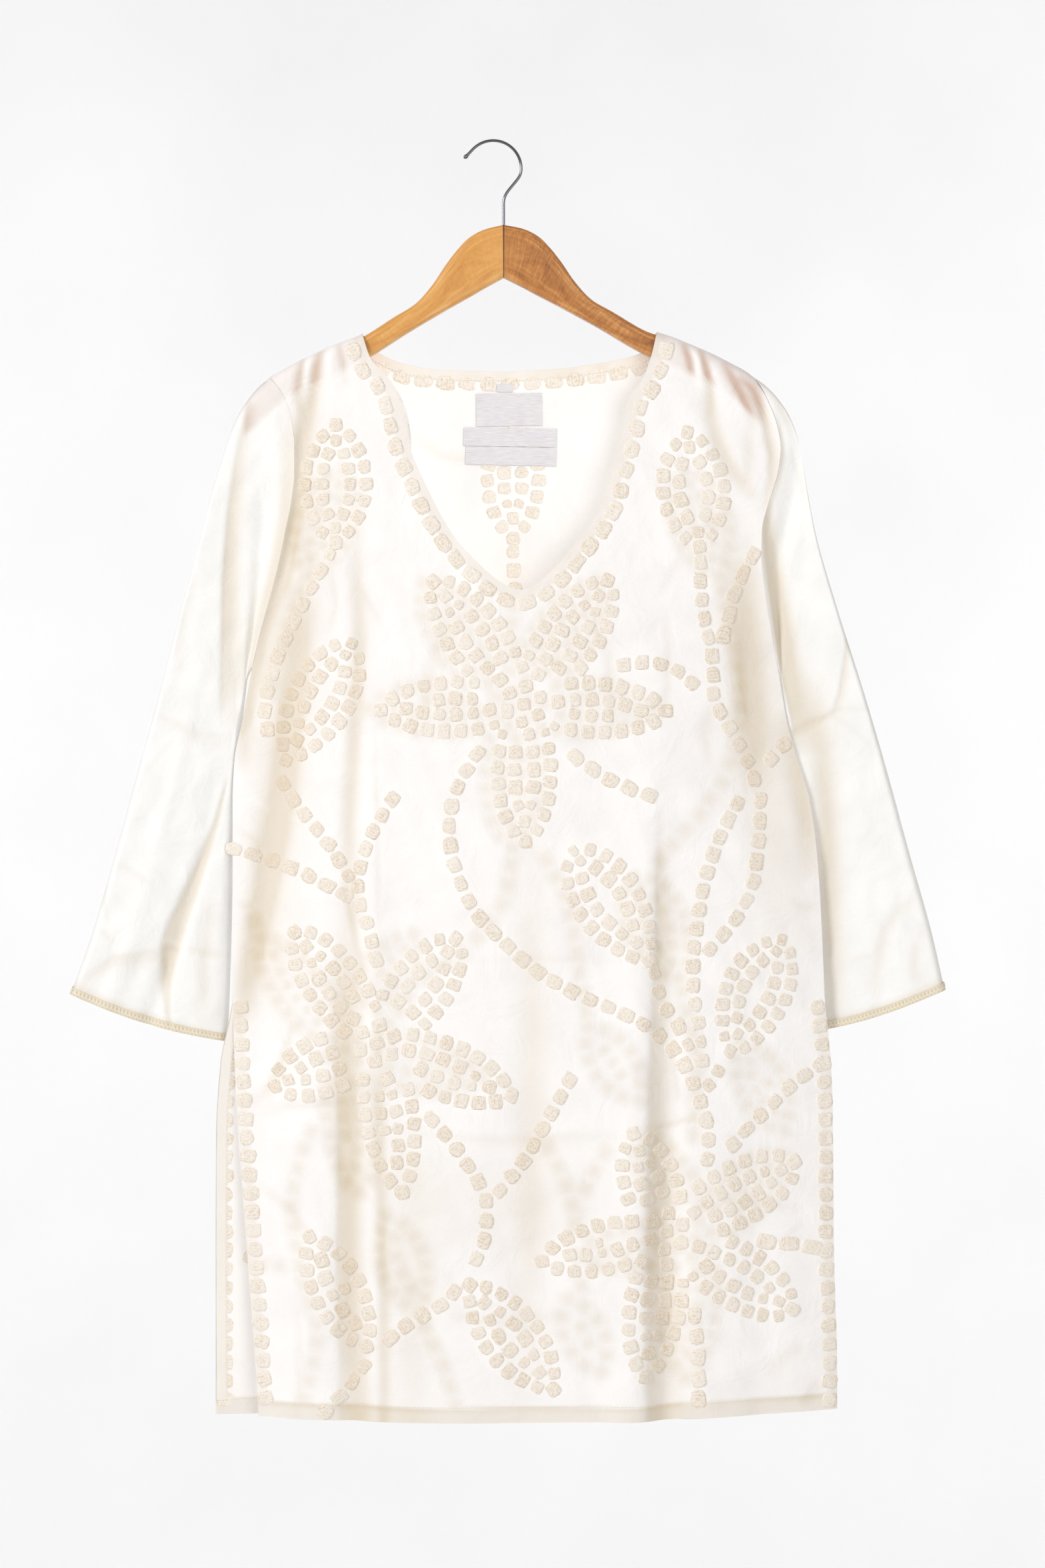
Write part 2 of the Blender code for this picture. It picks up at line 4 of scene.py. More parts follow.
import bpy
import numpy as np
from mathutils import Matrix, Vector

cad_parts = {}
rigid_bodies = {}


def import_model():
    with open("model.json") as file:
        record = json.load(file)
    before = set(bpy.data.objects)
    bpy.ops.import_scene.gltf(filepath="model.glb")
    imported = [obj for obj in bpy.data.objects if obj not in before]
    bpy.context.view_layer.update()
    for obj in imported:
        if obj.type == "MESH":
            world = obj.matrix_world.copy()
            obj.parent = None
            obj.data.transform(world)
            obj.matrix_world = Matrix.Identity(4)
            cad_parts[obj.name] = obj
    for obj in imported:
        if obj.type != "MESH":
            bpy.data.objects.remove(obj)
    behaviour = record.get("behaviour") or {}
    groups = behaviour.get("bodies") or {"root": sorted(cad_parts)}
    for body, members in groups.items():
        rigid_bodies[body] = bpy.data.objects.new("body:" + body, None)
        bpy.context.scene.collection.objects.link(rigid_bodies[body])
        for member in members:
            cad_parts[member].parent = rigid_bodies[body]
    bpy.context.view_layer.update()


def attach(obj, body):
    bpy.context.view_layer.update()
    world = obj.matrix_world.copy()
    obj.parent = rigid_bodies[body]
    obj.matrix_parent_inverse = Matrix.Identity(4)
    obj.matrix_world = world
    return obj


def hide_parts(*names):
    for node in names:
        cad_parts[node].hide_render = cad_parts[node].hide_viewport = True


# Looks of a cotton kurta tunic on a wooden hanger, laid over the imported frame.
# Places and sizes are in millimetres, in the frame's own axes: +X right, -Y the front, +Z up.
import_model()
mm = 0.001


def linear(hexColour):
    # sRGB hex to linear: the standard curve, channel by channel
    parts = [int(hexColour[i:i + 2], 16) / 255 for i in (1, 3, 5)]
    return tuple(c / 12.92 if c <= 0.04045 else ((c + 0.055) / 1.055) ** 2.4 for c in parts) + (1.0,)


def shaderInput(material, socket, source):
    # one link into the material's principled shader
    shader = material.node_tree.nodes["Principled BSDF"]
    material.node_tree.links.new(source, shader.inputs[socket])


def newMaterial(name, hexColour, roughness, **sockets):
    # a principled material; other sockets go by their names, with _ for a space
    made = bpy.data.materials.new(name)
    made.use_nodes = True
    inputs = made.node_tree.nodes["Principled BSDF"].inputs
    inputs["Base Color"].default_value = linear(hexColour)
    inputs["Roughness"].default_value = roughness
    for socket, value in sockets.items():
        inputs[socket.replace("_", " ")].default_value = value
    return made


def addNode(material, kind, links=None, values=None, output=0, stops=(), **settings):
    # one node: its settings, its plain input values, what feeds each input, and for a colour
    # ramp its stops as (place, hex). Its output comes back, the first unless another is named.
    node = material.node_tree.nodes.new(kind)
    for key, value in settings.items():
        setattr(node, key, value)
    for key, value in (values or {}).items():
        node.inputs[key].default_value = value
    for key, source in (links or {}).items():
        material.node_tree.links.new(source, node.inputs[key])
    if stops:
        elements = node.color_ramp.elements
        for _ in stops[2:]:
            elements.new(0.5)
        for element, (place, hexColour) in zip(elements, stops):
            element.position = place
            element.color = linear(hexColour)
    return node.outputs[output]


def lookOf(material, colour, height=None, strength=0.0, distance=0.0, under=None):
    # how most of the materials end: a colour, and a bump of a height over another bump or over
    # the bare surface, with its distance in metres
    shaderInput(material, "Base Color", colour)
    if height is not None:
        links = {"Height": height} if under is None else {"Height": height, "Normal": under}
        bump = addNode(material, "ShaderNodeBump", links, {"Strength": strength, "Distance": distance})
        shaderInput(material, "Normal", bump)
    return material


def gridQuads(rows, columns, closed=False):
    # faces of a grid of points, row by row; closed joins the last column to the first
    last = columns if closed else columns - 1
    r, c = np.meshgrid(np.arange(rows - 1), np.arange(last), indexing="ij")
    across = (c + 1) % columns
    return np.stack([r * columns + c, (r + 1) * columns + c,
                     (r + 1) * columns + across, r * columns + across], axis=-1).reshape(-1, 4)


def fan(middle, ring):
    # triangles from one point to each pair of neighbours on a ring
    return np.stack([np.full(len(ring), middle), ring, np.roll(ring, -1)], axis=-1)


def tubeFaces(rows, ring, flip):
    # rings joined row by row, each end closed by a fan to its own middle point; the two middle
    # points follow those of the rings. flip turns every face over.
    count = rows * ring
    first = np.arange(ring)
    caps = np.vstack([fan(count, first), fan(count + 1, first + count - ring)[:, ::-1]])
    sets = [gridQuads(rows, ring, True), caps]
    return [faces[:, ::-1] for faces in sets] if flip else sets


def newMesh(name, points, faceSets, material, sharpAngle=60):
    # points in mm; faceSets is a list of whole arrays of faces, each with its own corner count
    mesh = bpy.data.meshes.new(name)
    points = np.asarray(points, float).reshape(-1, 3) * mm
    corners = np.concatenate([faces.reshape(-1) for faces in faceSets])
    counts = np.concatenate([np.full(len(faces), faces.shape[1]) for faces in faceSets])
    starts = np.concatenate([[0], np.cumsum(counts)[:-1]])
    mesh.vertices.add(len(points))
    mesh.vertices.foreach_set("co", points.astype(np.float32).ravel())
    mesh.loops.add(len(corners))
    mesh.loops.foreach_set("vertex_index", corners.astype(np.int32))
    mesh.polygons.add(len(counts))
    mesh.polygons.foreach_set("loop_start", starts.astype(np.int32))
    mesh.update(calc_edges=True)
    mesh.validate()
    mesh.materials.append(material)
    mesh.shade_smooth()
    mesh.set_sharp_from_angle(angle=math.radians(sharpAngle))
    made = bpy.data.objects.new(name, mesh)
    bpy.context.scene.collection.objects.link(made)
    return made


def setAttribute(piece, name, values):
    # one number for each point, which a material reads by its name
    made = piece.data.attributes.new(name, "FLOAT", "POINT")
    made.data.foreach_set("value", np.asarray(values, np.float32).ravel())


def setUv(piece, uv):
    # one uv for each point, copied to that point's corners
    layer = piece.data.uv_layers.new(name="surface")
    corner = np.zeros(len(piece.data.loops), np.int32)
    piece.data.loops.foreach_get("vertex_index", corner)
    layer.data.foreach_set("uv", np.asarray(uv, np.float32).reshape(-1, 2)[corner].ravel())


def finishPiece(piece, slot, *nodes):
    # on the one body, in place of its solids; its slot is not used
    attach(piece, "root")
    if nodes:
        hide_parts(*nodes)
    return piece


garment = {
    "stemX": 8.0, "hangerTilt": 0.0227, "wrapRadius": 10.0, "underarmDrop": 232.0,
    "clothWall": 0.42,          # mm, thin voile with its weave and a little air
    "seamGap": 0.16,
    "crownPower": 2.6,          # how full a panel is towards its sides
    "creaseGain": 0.65,         # how much of a crease's depth the cloth takes
    "shoulderCreases": 12,      # the last creases of a list, which lie over the hanger
    "crumplePairs": 9, "crumpleSize": 46, "crumpleDepth": 0.6,
    "hangerRoom": 7.2,          # mm that the hanger fills under the shoulders
    "rowStep": 3.6,             # mm between rows down a panel
    "fixedDrop": 32.0,          # mm under the top edge where rows keep their distance
    "fullDrop": 827,            # mm to the hem, before each column is fitted to it
    "evenFrom": 12.0, "evenBy": 260.0,      # mm down, over which the columns spread evenly
    "neckSteps": 100, "shoulderSteps": 30,
    "neckEnds": (0, 1.2, 3.0, 5.5, 9.0, 15.0),      # mm along the neck from its ends
}

# height of the shoulder, the same both ways from the stem: out, height
shoulder = ((0.0, -90.8), (116.6, -152.6), (133.6, -158.5), (151.0, -165.9), (167.0, -173.3),
            (182.9, -181.8), (191.9, -186.8), (201.4, -194.5), (209.4, -203.0),
            (216.2, -212.0), (222.6, -222.6), (226.8, -234.8))

# the side seam under the sleeves, the same on both panels: height, left, right
sideSeam = ((-393, -186.0, 221.5), (-420, -192.5, 226.5), (-463, -200.5, 234.0),
            (-492, -206.5, 242.0), (-525, -208.0, 252.0), (-575, -208.0, 258.5),
            (-630, -208.0, 261.8))

# each panel: sides (height, left, right), neck (across, height), hem (share, height),
# depth (height, at the sides, in the middle) and long folds (x and height of the top and of the
# foot, half width, depth)
front = {
    "sign": -1,
    "sides": ((-188, -178.0, 207.5), (-205, -166.0, 217.0), (-225, -160.0, 225.0),
              (-245, -158.0, 228.5), (-265, -158.0, 226.0), (-291, -161.0, 218.0),
              (-310, -165.0, 213.5), (-330, -169.0, 213.0), (-360, -176.5, 216.0), *sideSeam,
              (-682, -208.0, 264.0), (-735, -206.2, 269.0),
              (-790, -203.3, 270.5), (-880, -196.4, 271.0), (-975, -189.4, 273.5),
              (-1018, -186.6, 273.5)),
    "neck": ((-104.7, -153.1), (-97.8, -173.8), (-79.7, -195.5), (-74.5, -213.0),
             (-68.1, -240.0), (-55.9, -269.8), (-32.1, -314.3), (-11.4, -337.6),
             (5.0, -351.4), (15.5, -357.0), (23.1, -358.3), (30.0, -356.0), (49.6, -339.7),
             (63.3, -323.3), (84.5, -294.2), (95.7, -258.6), (103.6, -226.3),
             (107.3, -206.5), (117.4, -192.4), (125.3, -172.3), (130.1, -151.7)),
    "hem": ((0.0, -1015.0), (0.22, -1016.5), (0.65, -1015.0), (1.0, -1009.0)),
    "depth": ((-150, 9.5, 9.5), (-215, 9.5, 11.0), (-260, 10.5, 13.0), (-330, 9.5, 16.5),
              (-380, 6.0, 19.0), (-425, 0.5, 20.5), (-560, 0.5, 23.5), (-682, 0.5, 25.5),
              (-740, 2.5, 26.5), (-1020, 6.0, 30.0)),
    "folds": ((126, -380, 110, -1020, 20, -5.0), (140, -480, 138, -1020, 14, 6.5),
              (-93, -400, -93, -760, 12, -2.0), (-105, -720, -106, -1020, 18, 5.0),
              (-176, -400, -189, -700, 12, 3.5), (18, -375, 24, -1020, 24, 2.0),
              (-138, -480, -148, -1020, 22, -2.5), (206, -480, 212, -1020, 18, 2.5)),
}
back = {
    "sign": 1,
    "sides": ((-188, -178.0, 207.5), (-205, -169.0, 214.0), (-245, -164.0, 220.0),
              (-291, -166.0, 216.0), (-330, -171.0, 213.0), (-360, -177.5, 216.0), *sideSeam,
              (-682, -208.5, 264.0), (-735, -218.0, 265.0),
              (-790, -221.5, 264.5), (-880, -222.0, 263.5), (-1020, -222.0, 262.0)),
    "neck": ((-104.7, -153.1), (-98.0, -162.5), (-87.2, -169.6), (-69.2, -176.6),
             (-39.5, -180.7), (8.7, -181.8), (52.2, -179.5), (93.0, -173.8), (112.0, -169.5),
             (122.7, -163.5), (130.1, -151.7)),
    "hem": ((0.0, -1015.5), (0.40, -1018.0), (0.75, -1016.0), (1.0, -1011.0)),
    "depth": ((-150, 9.5, 9.5), (-215, 9.5, 10.5), (-260, 10.5, 11.5), (-330, 9.0, 13.0),
              (-380, 5.0, 14.5), (-425, 0.5, 15.5), (-560, 0.5, 18.0), (-682, 0.5, 19.5),
              (-740, 2.0, 20.5), (-1020, 4.0, 24.0)),
    "folds": ((-120, -360, -128, -1020, 20, 4.5), (-60, -300, -72, -1020, 22, -3.0),
              (20, -330, 28, -1020, 26, 3.0), (95, -360, 104, -1020, 20, -4.0),
              (150, -420, 152, -1020, 16, 5.0), (205, -480, 214, -1020, 18, -2.0)),
}


def hermite(knots, values, slopes, at):
    # cubic pieces through the values at the knots, with the given slopes there
    k = np.clip(np.searchsorted(knots, at, side="right") - 1, 0, len(knots) - 2)
    step = (knots[k + 1] - knots[k])[..., None]
    t = (at - knots[k])[..., None] / step
    return ((1 + 2 * t) * (1 - t) ** 2 * values[k] + t * (1 - t) ** 2 * step * slopes[k]
            + t * t * (3 - 2 * t) * values[k + 1] - t * t * (1 - t) * step * slopes[k + 1])


def smooth(table, at):
    # the table's later columns at values of its first: cubic Hermite pieces whose slopes are
    # harmonic means of the rises to each side, so they never run past the table
    rows = np.array(table, float)
    rows = rows[np.argsort(rows[:, 0])]
    knots, values = rows[:, 0], rows[:, 1:]
    rise = np.diff(values, axis=0) / np.diff(knots)[:, None]
    product = rise[:-1] * rise[1:]
    total = np.where(product > 0, rise[:-1] + rise[1:], 1.0)
    slopes = np.zeros_like(values)
    slopes[1:-1] = np.where(product > 0, 2 * product / total, 0.0)
    slopes[0], slopes[-1] = rise[0], rise[-1]
    found = hermite(knots, values, slopes, np.clip(at, knots[0], knots[-1]))
    return np.moveaxis(found, -1, 0)


def pathLength(path):
    # the sum of a path's straight steps
    return np.linalg.norm(np.diff(np.array(path, float), axis=0), axis=1).sum()


def travelled(path):
    # the length of a path up to each of its points
    steps = np.linalg.norm(np.diff(np.array(path, float), axis=0), axis=1)
    return np.concatenate([[0], np.cumsum(steps)])


def along(path, shares):
    # points at shares of a path's length, smooth between its own
    lengths = travelled(path)
    table = np.column_stack([lengths / lengths[-1], np.array(path, float)])
    return np.stack(smooth(table, np.asarray(shares, float)), axis=-1)


def turnIn(drop, radius):
    # 0 on an edge that turns over, 1 from a radius below it: a quarter circle
    left = 1 - np.clip(drop / radius, 0, 1)
    return np.sqrt(np.maximum(1 - left * left, 0))


def tilt(x):
    # how much the hanger's slant adds to a height
    return garment["hangerTilt"] * (x - garment["stemX"])


def shoulderZ(x):
    # the shoulder's height: its table at the distance from the stem, slanted with the hanger
    return smooth(shoulder, np.abs(x - garment["stemX"]))[0] + tilt(x)


def foldDepth(x, z, folds):
    # long soft folds: a bell across, growing as a quarter sine from nothing at the top
    total = np.zeros(np.broadcast(x, z).shape)
    for xTop, zTop, xFoot, zFoot, halfWidth, depth in folds:
        down = np.clip((zTop - z) / (zTop - zFoot), 0, 1)
        middle = xTop + (xFoot - xTop) * down
        total += depth * np.sin(down * math.pi / 2) * np.exp(-((x - middle) / halfWidth) ** 2)
    return total


def creaseDepth(x, z, creases):
    # creases: distance d to a bent line, faded to nothing at its two ends.
    # soft: a bell of d. step: one side sinks over a soft edge and comes back as exp of minus
    # d over its reach cubed, a reach that grows down the line.
    # wedge: sunk between the line and a second edge that leaves it, both of them sharp.
    total = np.zeros(np.broadcast(x, z).shape)
    for kind, width, depth, points in creases:
        line = np.array(points, float)
        starts, runs = line[:-1], np.diff(line, axis=0)
        lengths = np.linalg.norm(runs, axis=1)
        before = np.concatenate([[0], np.cumsum(lengths)[:-1]])
        best = np.full(total.shape, 1e9)
        side = np.zeros(total.shape)
        share = np.zeros(total.shape)
        for start, run, length, behind in zip(starts, runs, lengths, before):
            dx, dz = x - start[0], z - start[1]
            t = (dx * run[0] + dz * run[1]) / length ** 2
            inside = np.clip(t, 0, 1)
            far = np.hypot(dx - inside * run[0], dz - inside * run[1])
            nearer = far < best
            best = np.where(nearer, far, best)
            side = np.where(nearer, np.sign(dz * run[0] - dx * run[1]), side)
            share = np.where(nearer, (behind + inside * length) / lengths.sum(), share)
        fade = np.clip(4 * share * (1 - share), 0, 1) ** 0.7
        if kind == "soft":
            total += depth * fade * np.exp(-(best / width) ** 2)
        elif kind == "wedge":
            s = best * side
            total += depth * np.clip(12 * share * (1 - share), 0, 1) \
                * (0.5 + 0.5 * np.tanh(s / 1.3)) * (0.5 - 0.5 * np.tanh((s - width * share) / 1.6))
        else:
            s = best * side * (1 if kind == "stepLeft" else -1)
            rise = 0.5 + 0.5 * np.tanh((s - width / 12) / (0.7 + width / 12))
            reach = width * (0.6 + 0.8 * share)
            total += depth * fade * rise * np.exp(-(np.maximum(s, 0) / reach) ** 3)
    return total


def crumple(x, z, seed, size, amount):
    # slight unevenness of pressed cotton: pairs of sine waves in seeded directions and lengths,
    # each pair multiplied, all of them added up
    local = np.random.default_rng(seed)
    total = np.zeros(np.broadcast(x, z).shape)
    for _ in range(garment["crumplePairs"]):
        turn, other = local.uniform(0, math.pi, 2)
        shift = local.uniform(0, 6.28, 2)
        wave = size * local.uniform(0.7, 1.8, 2)
        first = np.sin((x * math.cos(turn) + z * math.sin(turn)) * 6.283 / wave[0] + shift[0])
        second = np.sin((x * math.cos(other) + z * math.sin(other)) * 6.283 / wave[1] + shift[1])
        total += first * second
    return amount * total / 3


# Creases of the front. kind, width, depth in mm (in is positive), then points (x, z) along it
frontCreases = (
    ("stepLeft", 10, 1.0, ((128, -512), (129, -545), (128, -590), (127, -640), (126, -680))),
    ("stepLeft", 22, 2.7, ((126, -560), (126, -640), (123, -700), (121, -765), (120, -850), (119, -935),
        (120, -1015), (121, -1130))),
    ("soft", 10, 3.2, ((-113, -590), (-115, -640), (-117, -700), (-114, -760), (-113, -850), (-112, -930),
        (-106, -1000), (-106, -1120))),
    ("stepLeft", 8, 1.3, ((-125, -640), (-127, -700), (-124, -800), (-125, -900), (-122, -980),
        (-122, -1080))),
    ("soft", 5.5, 2.3, ((-89, -690), (-90, -780), (-88, -850), (-86, -930), (-86, -1000), (-87, -1110))),
    ("soft", 8, 4.4, ((-140, -168), (-143, -195), (-149, -222), (-155, -250), (-159, -290), (-163, -315),
        (-168, -340), (-176, -362), (-185, -392), (-194, -430), (-199, -465), (-200, -505))),
    ("soft", 5, 1.4, ((-160, -300), (-163, -320), (-166, -345), (-161, -366))),
    ("soft", 10, 5.4, ((-146, -362), (-153, -400), (-159, -440), (-164, -480), (-168, -520), (-176, -565),
        (-183, -605), (-192, -650), (-204, -712))),
    ("soft", 7, 2.7, ((-104, -300), (-108, -345), (-105, -400), (-108, -440), (-111, -490), (-114, -545),
        (-113, -590), (-107, -630))),
    ("soft", 3, 1.5, ((-118, -588), (-113, -612), (-108, -640), (-103, -660))),
    ("soft", 2.4, 0.8, ((-94, -455), (-92, -510), (-91, -570), (-90, -655))),
    ("soft", 3, 0.9, ((-149, -315), (-147, -332), (-139, -356))),
    ("soft", 2.8, 0.9, ((-130, -335), (-127, -352), (-124, -372), (-132, -400))),
    ("soft", 2.6, 0.7, ((-108, -350), (-98, -368), (-84, -392))),
    ("soft", 2.6, -0.7, ((-196, -520), (-178, -534), (-150, -540))),
    ("stepLeft", 8, 1.2, ((-206, -476), (-200, -474), (-194, -466), (-190, -450))),
    ("soft", 3, 0.9, ((-207, -545), (-200, -552), (-190, -556), (-180, -580))),
    ("soft", 2.6, 0.9, ((-207, -606), (-198, -609), (-186, -605))),
    ("soft", 3, 0.8, ((-180, -650), (-170, -644), (-158, -639))),
    ("stepLeft", 9, 1.9, ((-160, -698), (-166, -715), (-173, -736), (-186, -757), (-199, -766))),
    ("stepLeft", 9, 1.0, ((-186, -778), (-160, -771), (-130, -770), (-108, -776))),
    ("soft", 3, 0.7, ((-156, -915), (-154, -960), (-156, -1020))),
    ("soft", 4, 0.9, ((-196, -826), (-160, -850), (-136, -884))),
    ("soft", 6.5, 2.6, ((170, -192), (172, -214), (177, -236), (186, -256), (200, -276), (212, -288))),
    ("stepLeft", 9, 2.8, ((198, -200), (208, -214), (214, -230), (218, -252), (217, -273), (212, -302))),
    ("soft", 5, 1.1, ((203, -222), (204, -250), (202, -276))),
    ("soft", 12, 3.0, ((196, -330), (200, -370), (202, -420), (208, -470), (206, -520))),
    ("soft", 9, 3.2, ((233, -450), (240, -485), (246, -515), (251, -548), (254, -590))),
    ("soft", 5, 1.0, ((178, -440), (168, -470), (172, -500))),
    ("soft", 14, 1.4, ((28, -540), (32, -700), (30, -860), (26, -1000))),
    ("soft", 3, 0.9, ((153, -328), (141, -345), (132, -362))),
    ("soft", 3, 1.0, ((136, -368), (140, -398), (139, -430), (134, -470))),
    ("soft", 3, -0.5, ((-150, -503), (-60, -501), (40, -503), (100, -500))),
    ("soft", 2.6, -0.7, ((100, -546), (116, -540), (128, -536), (136, -520))),
    ("stepRight", 8, 0.8, ((232, -601), (246, -605), (264, -608))),
    ("soft", 2.6, 0.5, ((-40, -652), (40, -650), (110, -653))),
    ("soft", 3, -0.6, ((150, -652), (206, -648), (262, -650))),
    ("stepRight", 10, 0.9, ((-60, -786), (10, -790), (66, -786), (112, -788))),
    ("soft", 2.6, 1.3, ((118, -784), (134, -783), (150, -779), (164, -776))),
    ("soft", 2.4, 0.9, ((142, -724), (145, -740), (147, -764))),
    ("soft", 4, 0.8, ((160, -850), (196, -842), (246, -850))),
    ("soft", 5, 1.2, ((150, -960), (142, -940), (138, -912))),
    ("soft", 5, 1.1, ((244, -1006), (252, -998), (262, -984))),
    ("soft", 6, 1.0, ((220, -984), (232, -966), (248, -956))),
    ("soft", 5, 0.9, ((-30, -372), (-50, -420), (-58, -480))),
    ("soft", 5, 0.8, ((74, -360), (92, -410), (98, -470))),
    ("soft", 3, 0.6, ((60, -900), (110, -890), (150, -896))),
    ("soft", 4, 0.8, ((-40, -930), (0, -938), (60, -930))),
    ("soft", 30, 0.7, ((-90, -800), (-30, -846), (40, -850), (96, -830))),
    ("soft", 28, 1.3, ((-148, -178), (-154, -300), (-163, -420), (-172, -540), (-186, -720))),
    ("soft", 22, 1.4, ((196, -290), (204, -380), (212, -460), (224, -560), (238, -660))),
    ("soft", 18, 1.0, ((-66, -770), (-62, -880), (-66, -1080))),
    ("soft", 3.2, 1.6, ((-152, -168), (-153, -180), (-156, -200), (-152, -222))),
    ("soft", 3.0, -1.0, ((-147, -168), (-149, -190), (-146, -214))),
    ("soft", 3.4, 1.8, ((-136, -160), (-140, -178), (-144, -206), (-148, -232))),
    ("soft", 3.0, -0.8, ((-130, -160), (-131, -182), (-126, -204))),
    ("soft", 3.4, 1.2, ((-178, -180), (-182, -200), (-186, -226))),
    ("soft", 3.0, 1.1, ((-124, -158), (-120, -176), (-116, -198))),
    ("soft", 3.2, 1.6, ((150, -160), (156, -176), (158, -194))),
    ("soft", 3.0, -1.0, ((158, -164), (163, -180), (168, -202))),
    ("soft", 3.2, 2.0, ((163, -164), (168, -180), (173, -200), (174, -222))),
    ("soft", 3.0, -0.9, ((174, -176), (180, -196), (188, -218))),
    ("soft", 3.4, 1.8, ((182, -176), (190, -190), (199, -206), (209, -232))),
    ("soft", 3.2, 1.6, ((194, -188), (206, -198), (214, -214), (220, -232))),
)
# Creases of the back, of the same kinds: it hung and was pressed with the front
backCreases = (
    ("stepRight", 28, 3.0, ((-118, -520), (-122, -640), (-121, -760), (-126, -880), (-127, -1035))),
    ("stepLeft", 26, 3.2, ((142, -600), (146, -720), (144, -840), (147, -1035))),
    ("soft", 12, 1.5, ((18, -330), (22, -480), (20, -640), (26, -820), (24, -1000))),
    ("soft", 3, -0.9, ((62, -360), (66, -480), (64, -600), (68, -700))),
    ("soft", 8, 2.0, ((-150, -220), (-152, -280), (-156, -330))),
    ("soft", 8, 2.0, ((204, -220), (206, -280), (204, -340))),
    ("soft", 6, 1.3, ((-140, -330), (-160, -400), (-172, -470))),
    ("soft", 6, 1.3, ((190, -330), (206, -400), (216, -470))),
    ("soft", 2.6, 0.6, ((-180, -505), (-60, -502), (60, -505))),
    ("soft", 2.6, -0.6, ((40, -600), (140, -603), (240, -600))),
    ("soft", 3, 0.7, ((-200, -655), (-90, -652), (20, -656), (120, -652))),
    ("soft", 3, -0.6, ((-170, -790), (-60, -786), (80, -790), (200, -787))),
    ("soft", 4, 0.9, ((-196, -860), (-150, -850), (-110, -858))),
    ("soft", 4, 0.9, ((180, -880), (210, -868), (246, -874))),
    ("soft", 3.4, 0.9, ((-190, -480), (-150, -506), (-120, -545))),
    ("soft", 3.4, 0.9, ((232, -478), (196, -504), (168, -540))),
    ("soft", 5, 0.9, ((-70, -230), (-40, -250), (20, -256))),
    ("soft", 3.4, 1.3, ((-151, -172), (-154, -196), (-150, -222))),
    ("soft", 3.0, -0.9, ((-140, -168), (-142, -192), (-136, -216))),
    ("soft", 3.0, 1.0, ((-128, -164), (-128, -184), (-120, -202))),
    ("soft", 3.2, 1.4, ((155, -168), (160, -188), (168, -208))),
    ("soft", 3.0, -0.9, ((168, -174), (174, -194), (184, -214))),
    ("soft", 3.2, 1.4, ((182, -181), (190, -202), (200, -222))),
)
front["creases"], back["creases"] = frontCreases, backCreases


def panelY(x, z, panel):
    # distance of a panel from the hanger's plane: depth table, crowned across, less its folds
    # and creases, and all of it turned over at the shoulder
    left, right = smooth(panel["sides"], z)
    atSide, atMiddle = smooth(panel["depth"], z)
    across = np.clip((x - left) / (right - left), 0, 1)
    crown = 1 - np.abs(2 * across - 1) ** garment["crownPower"]
    away = atSide + (atMiddle - atSide) * crown
    away = away - foldDepth(x, z, panel["folds"]) * np.clip(crown * 4, 0, 1)
    # creases fade over 5 mm at the sides, 14 mm at the shoulder and where the body is thin
    edge = np.clip(np.minimum(x - left, right - x) / 5, 0, 1) * np.clip((away - 0.3) / 3, 0, 1)
    top = np.clip((shoulderZ(x) - z) / 14, 0, 1)
    fine = garment["creaseGain"] * creaseDepth(x, z, panel["creases"]) \
        + crumple(x, z, 3 + panel["sign"], garment["crumpleSize"], garment["crumpleDepth"])
    # a crease never reaches the hanger, which fills the shoulders above z -262
    room = 0.7 * away + (0.3 * away - garment["hangerRoom"]) * np.clip((z + 262) / 20, 0, 1)
    away = away - np.minimum(fine * edge * top, room)
    return panel["sign"] * away * turnIn(shoulderZ(x) - z, garment["wrapRadius"])


def panelPoint(x, z, panel, lift=0.0):
    # the point over (x, z), moved lift mm along the outward normal, found by small differences
    y = panelY(x, z, panel)
    e = 0.7
    slopeX = (panelY(x + e, z, panel) - panelY(x - e, z, panel)) / (2 * e)
    slopeZ = (panelY(x, z + e, panel) - panelY(x, z - e, panel)) / (2 * e)
    normal = np.stack([-slopeX, np.ones_like(slopeX), -slopeZ], axis=-1) * panel["sign"]
    normal /= np.linalg.norm(normal, axis=-1, keepdims=True)
    return np.stack([x, y, z], axis=-1) + normal * np.asarray(lift)[..., None]


def topEdge(panel):
    # left shoulder seam, neck edge, right shoulder seam
    neck, sides = panel["neck"], panel["sides"]
    ends = np.array(garment["neckEnds"]) / pathLength(neck)
    middle = np.linspace(ends[-1], 1 - ends[-1], garment["neckSteps"] + 1)
    neckPoints = along(neck, np.concatenate([ends[:-1], middle, 1 - ends[-2::-1]]))
    runs = []
    for start, stop in ((sides[0][1], neck[0][0]), (neck[-1][0], sides[0][2])):
        x = np.linspace(start, stop, garment["shoulderSteps"] + 1)
        runs.append(np.column_stack([x, shoulderZ(x)]))
    return np.vstack([runs[0][:-1], neckPoints, runs[1][1:]])


def crowded(count):
    # shares of a panel's width, twice as close together about its long folds
    place = np.linspace(0, 1, 400)
    density = 1 + 1.3 * np.exp(-((place - 0.70) / 0.05) ** 2) + 1.3 * np.exp(-((place - 0.20) / 0.06) ** 2)
    run = np.concatenate([[0], np.cumsum((density[1:] + density[:-1]) / 2)])
    return np.interp(np.linspace(0, 1, count), run / run[-1], place)


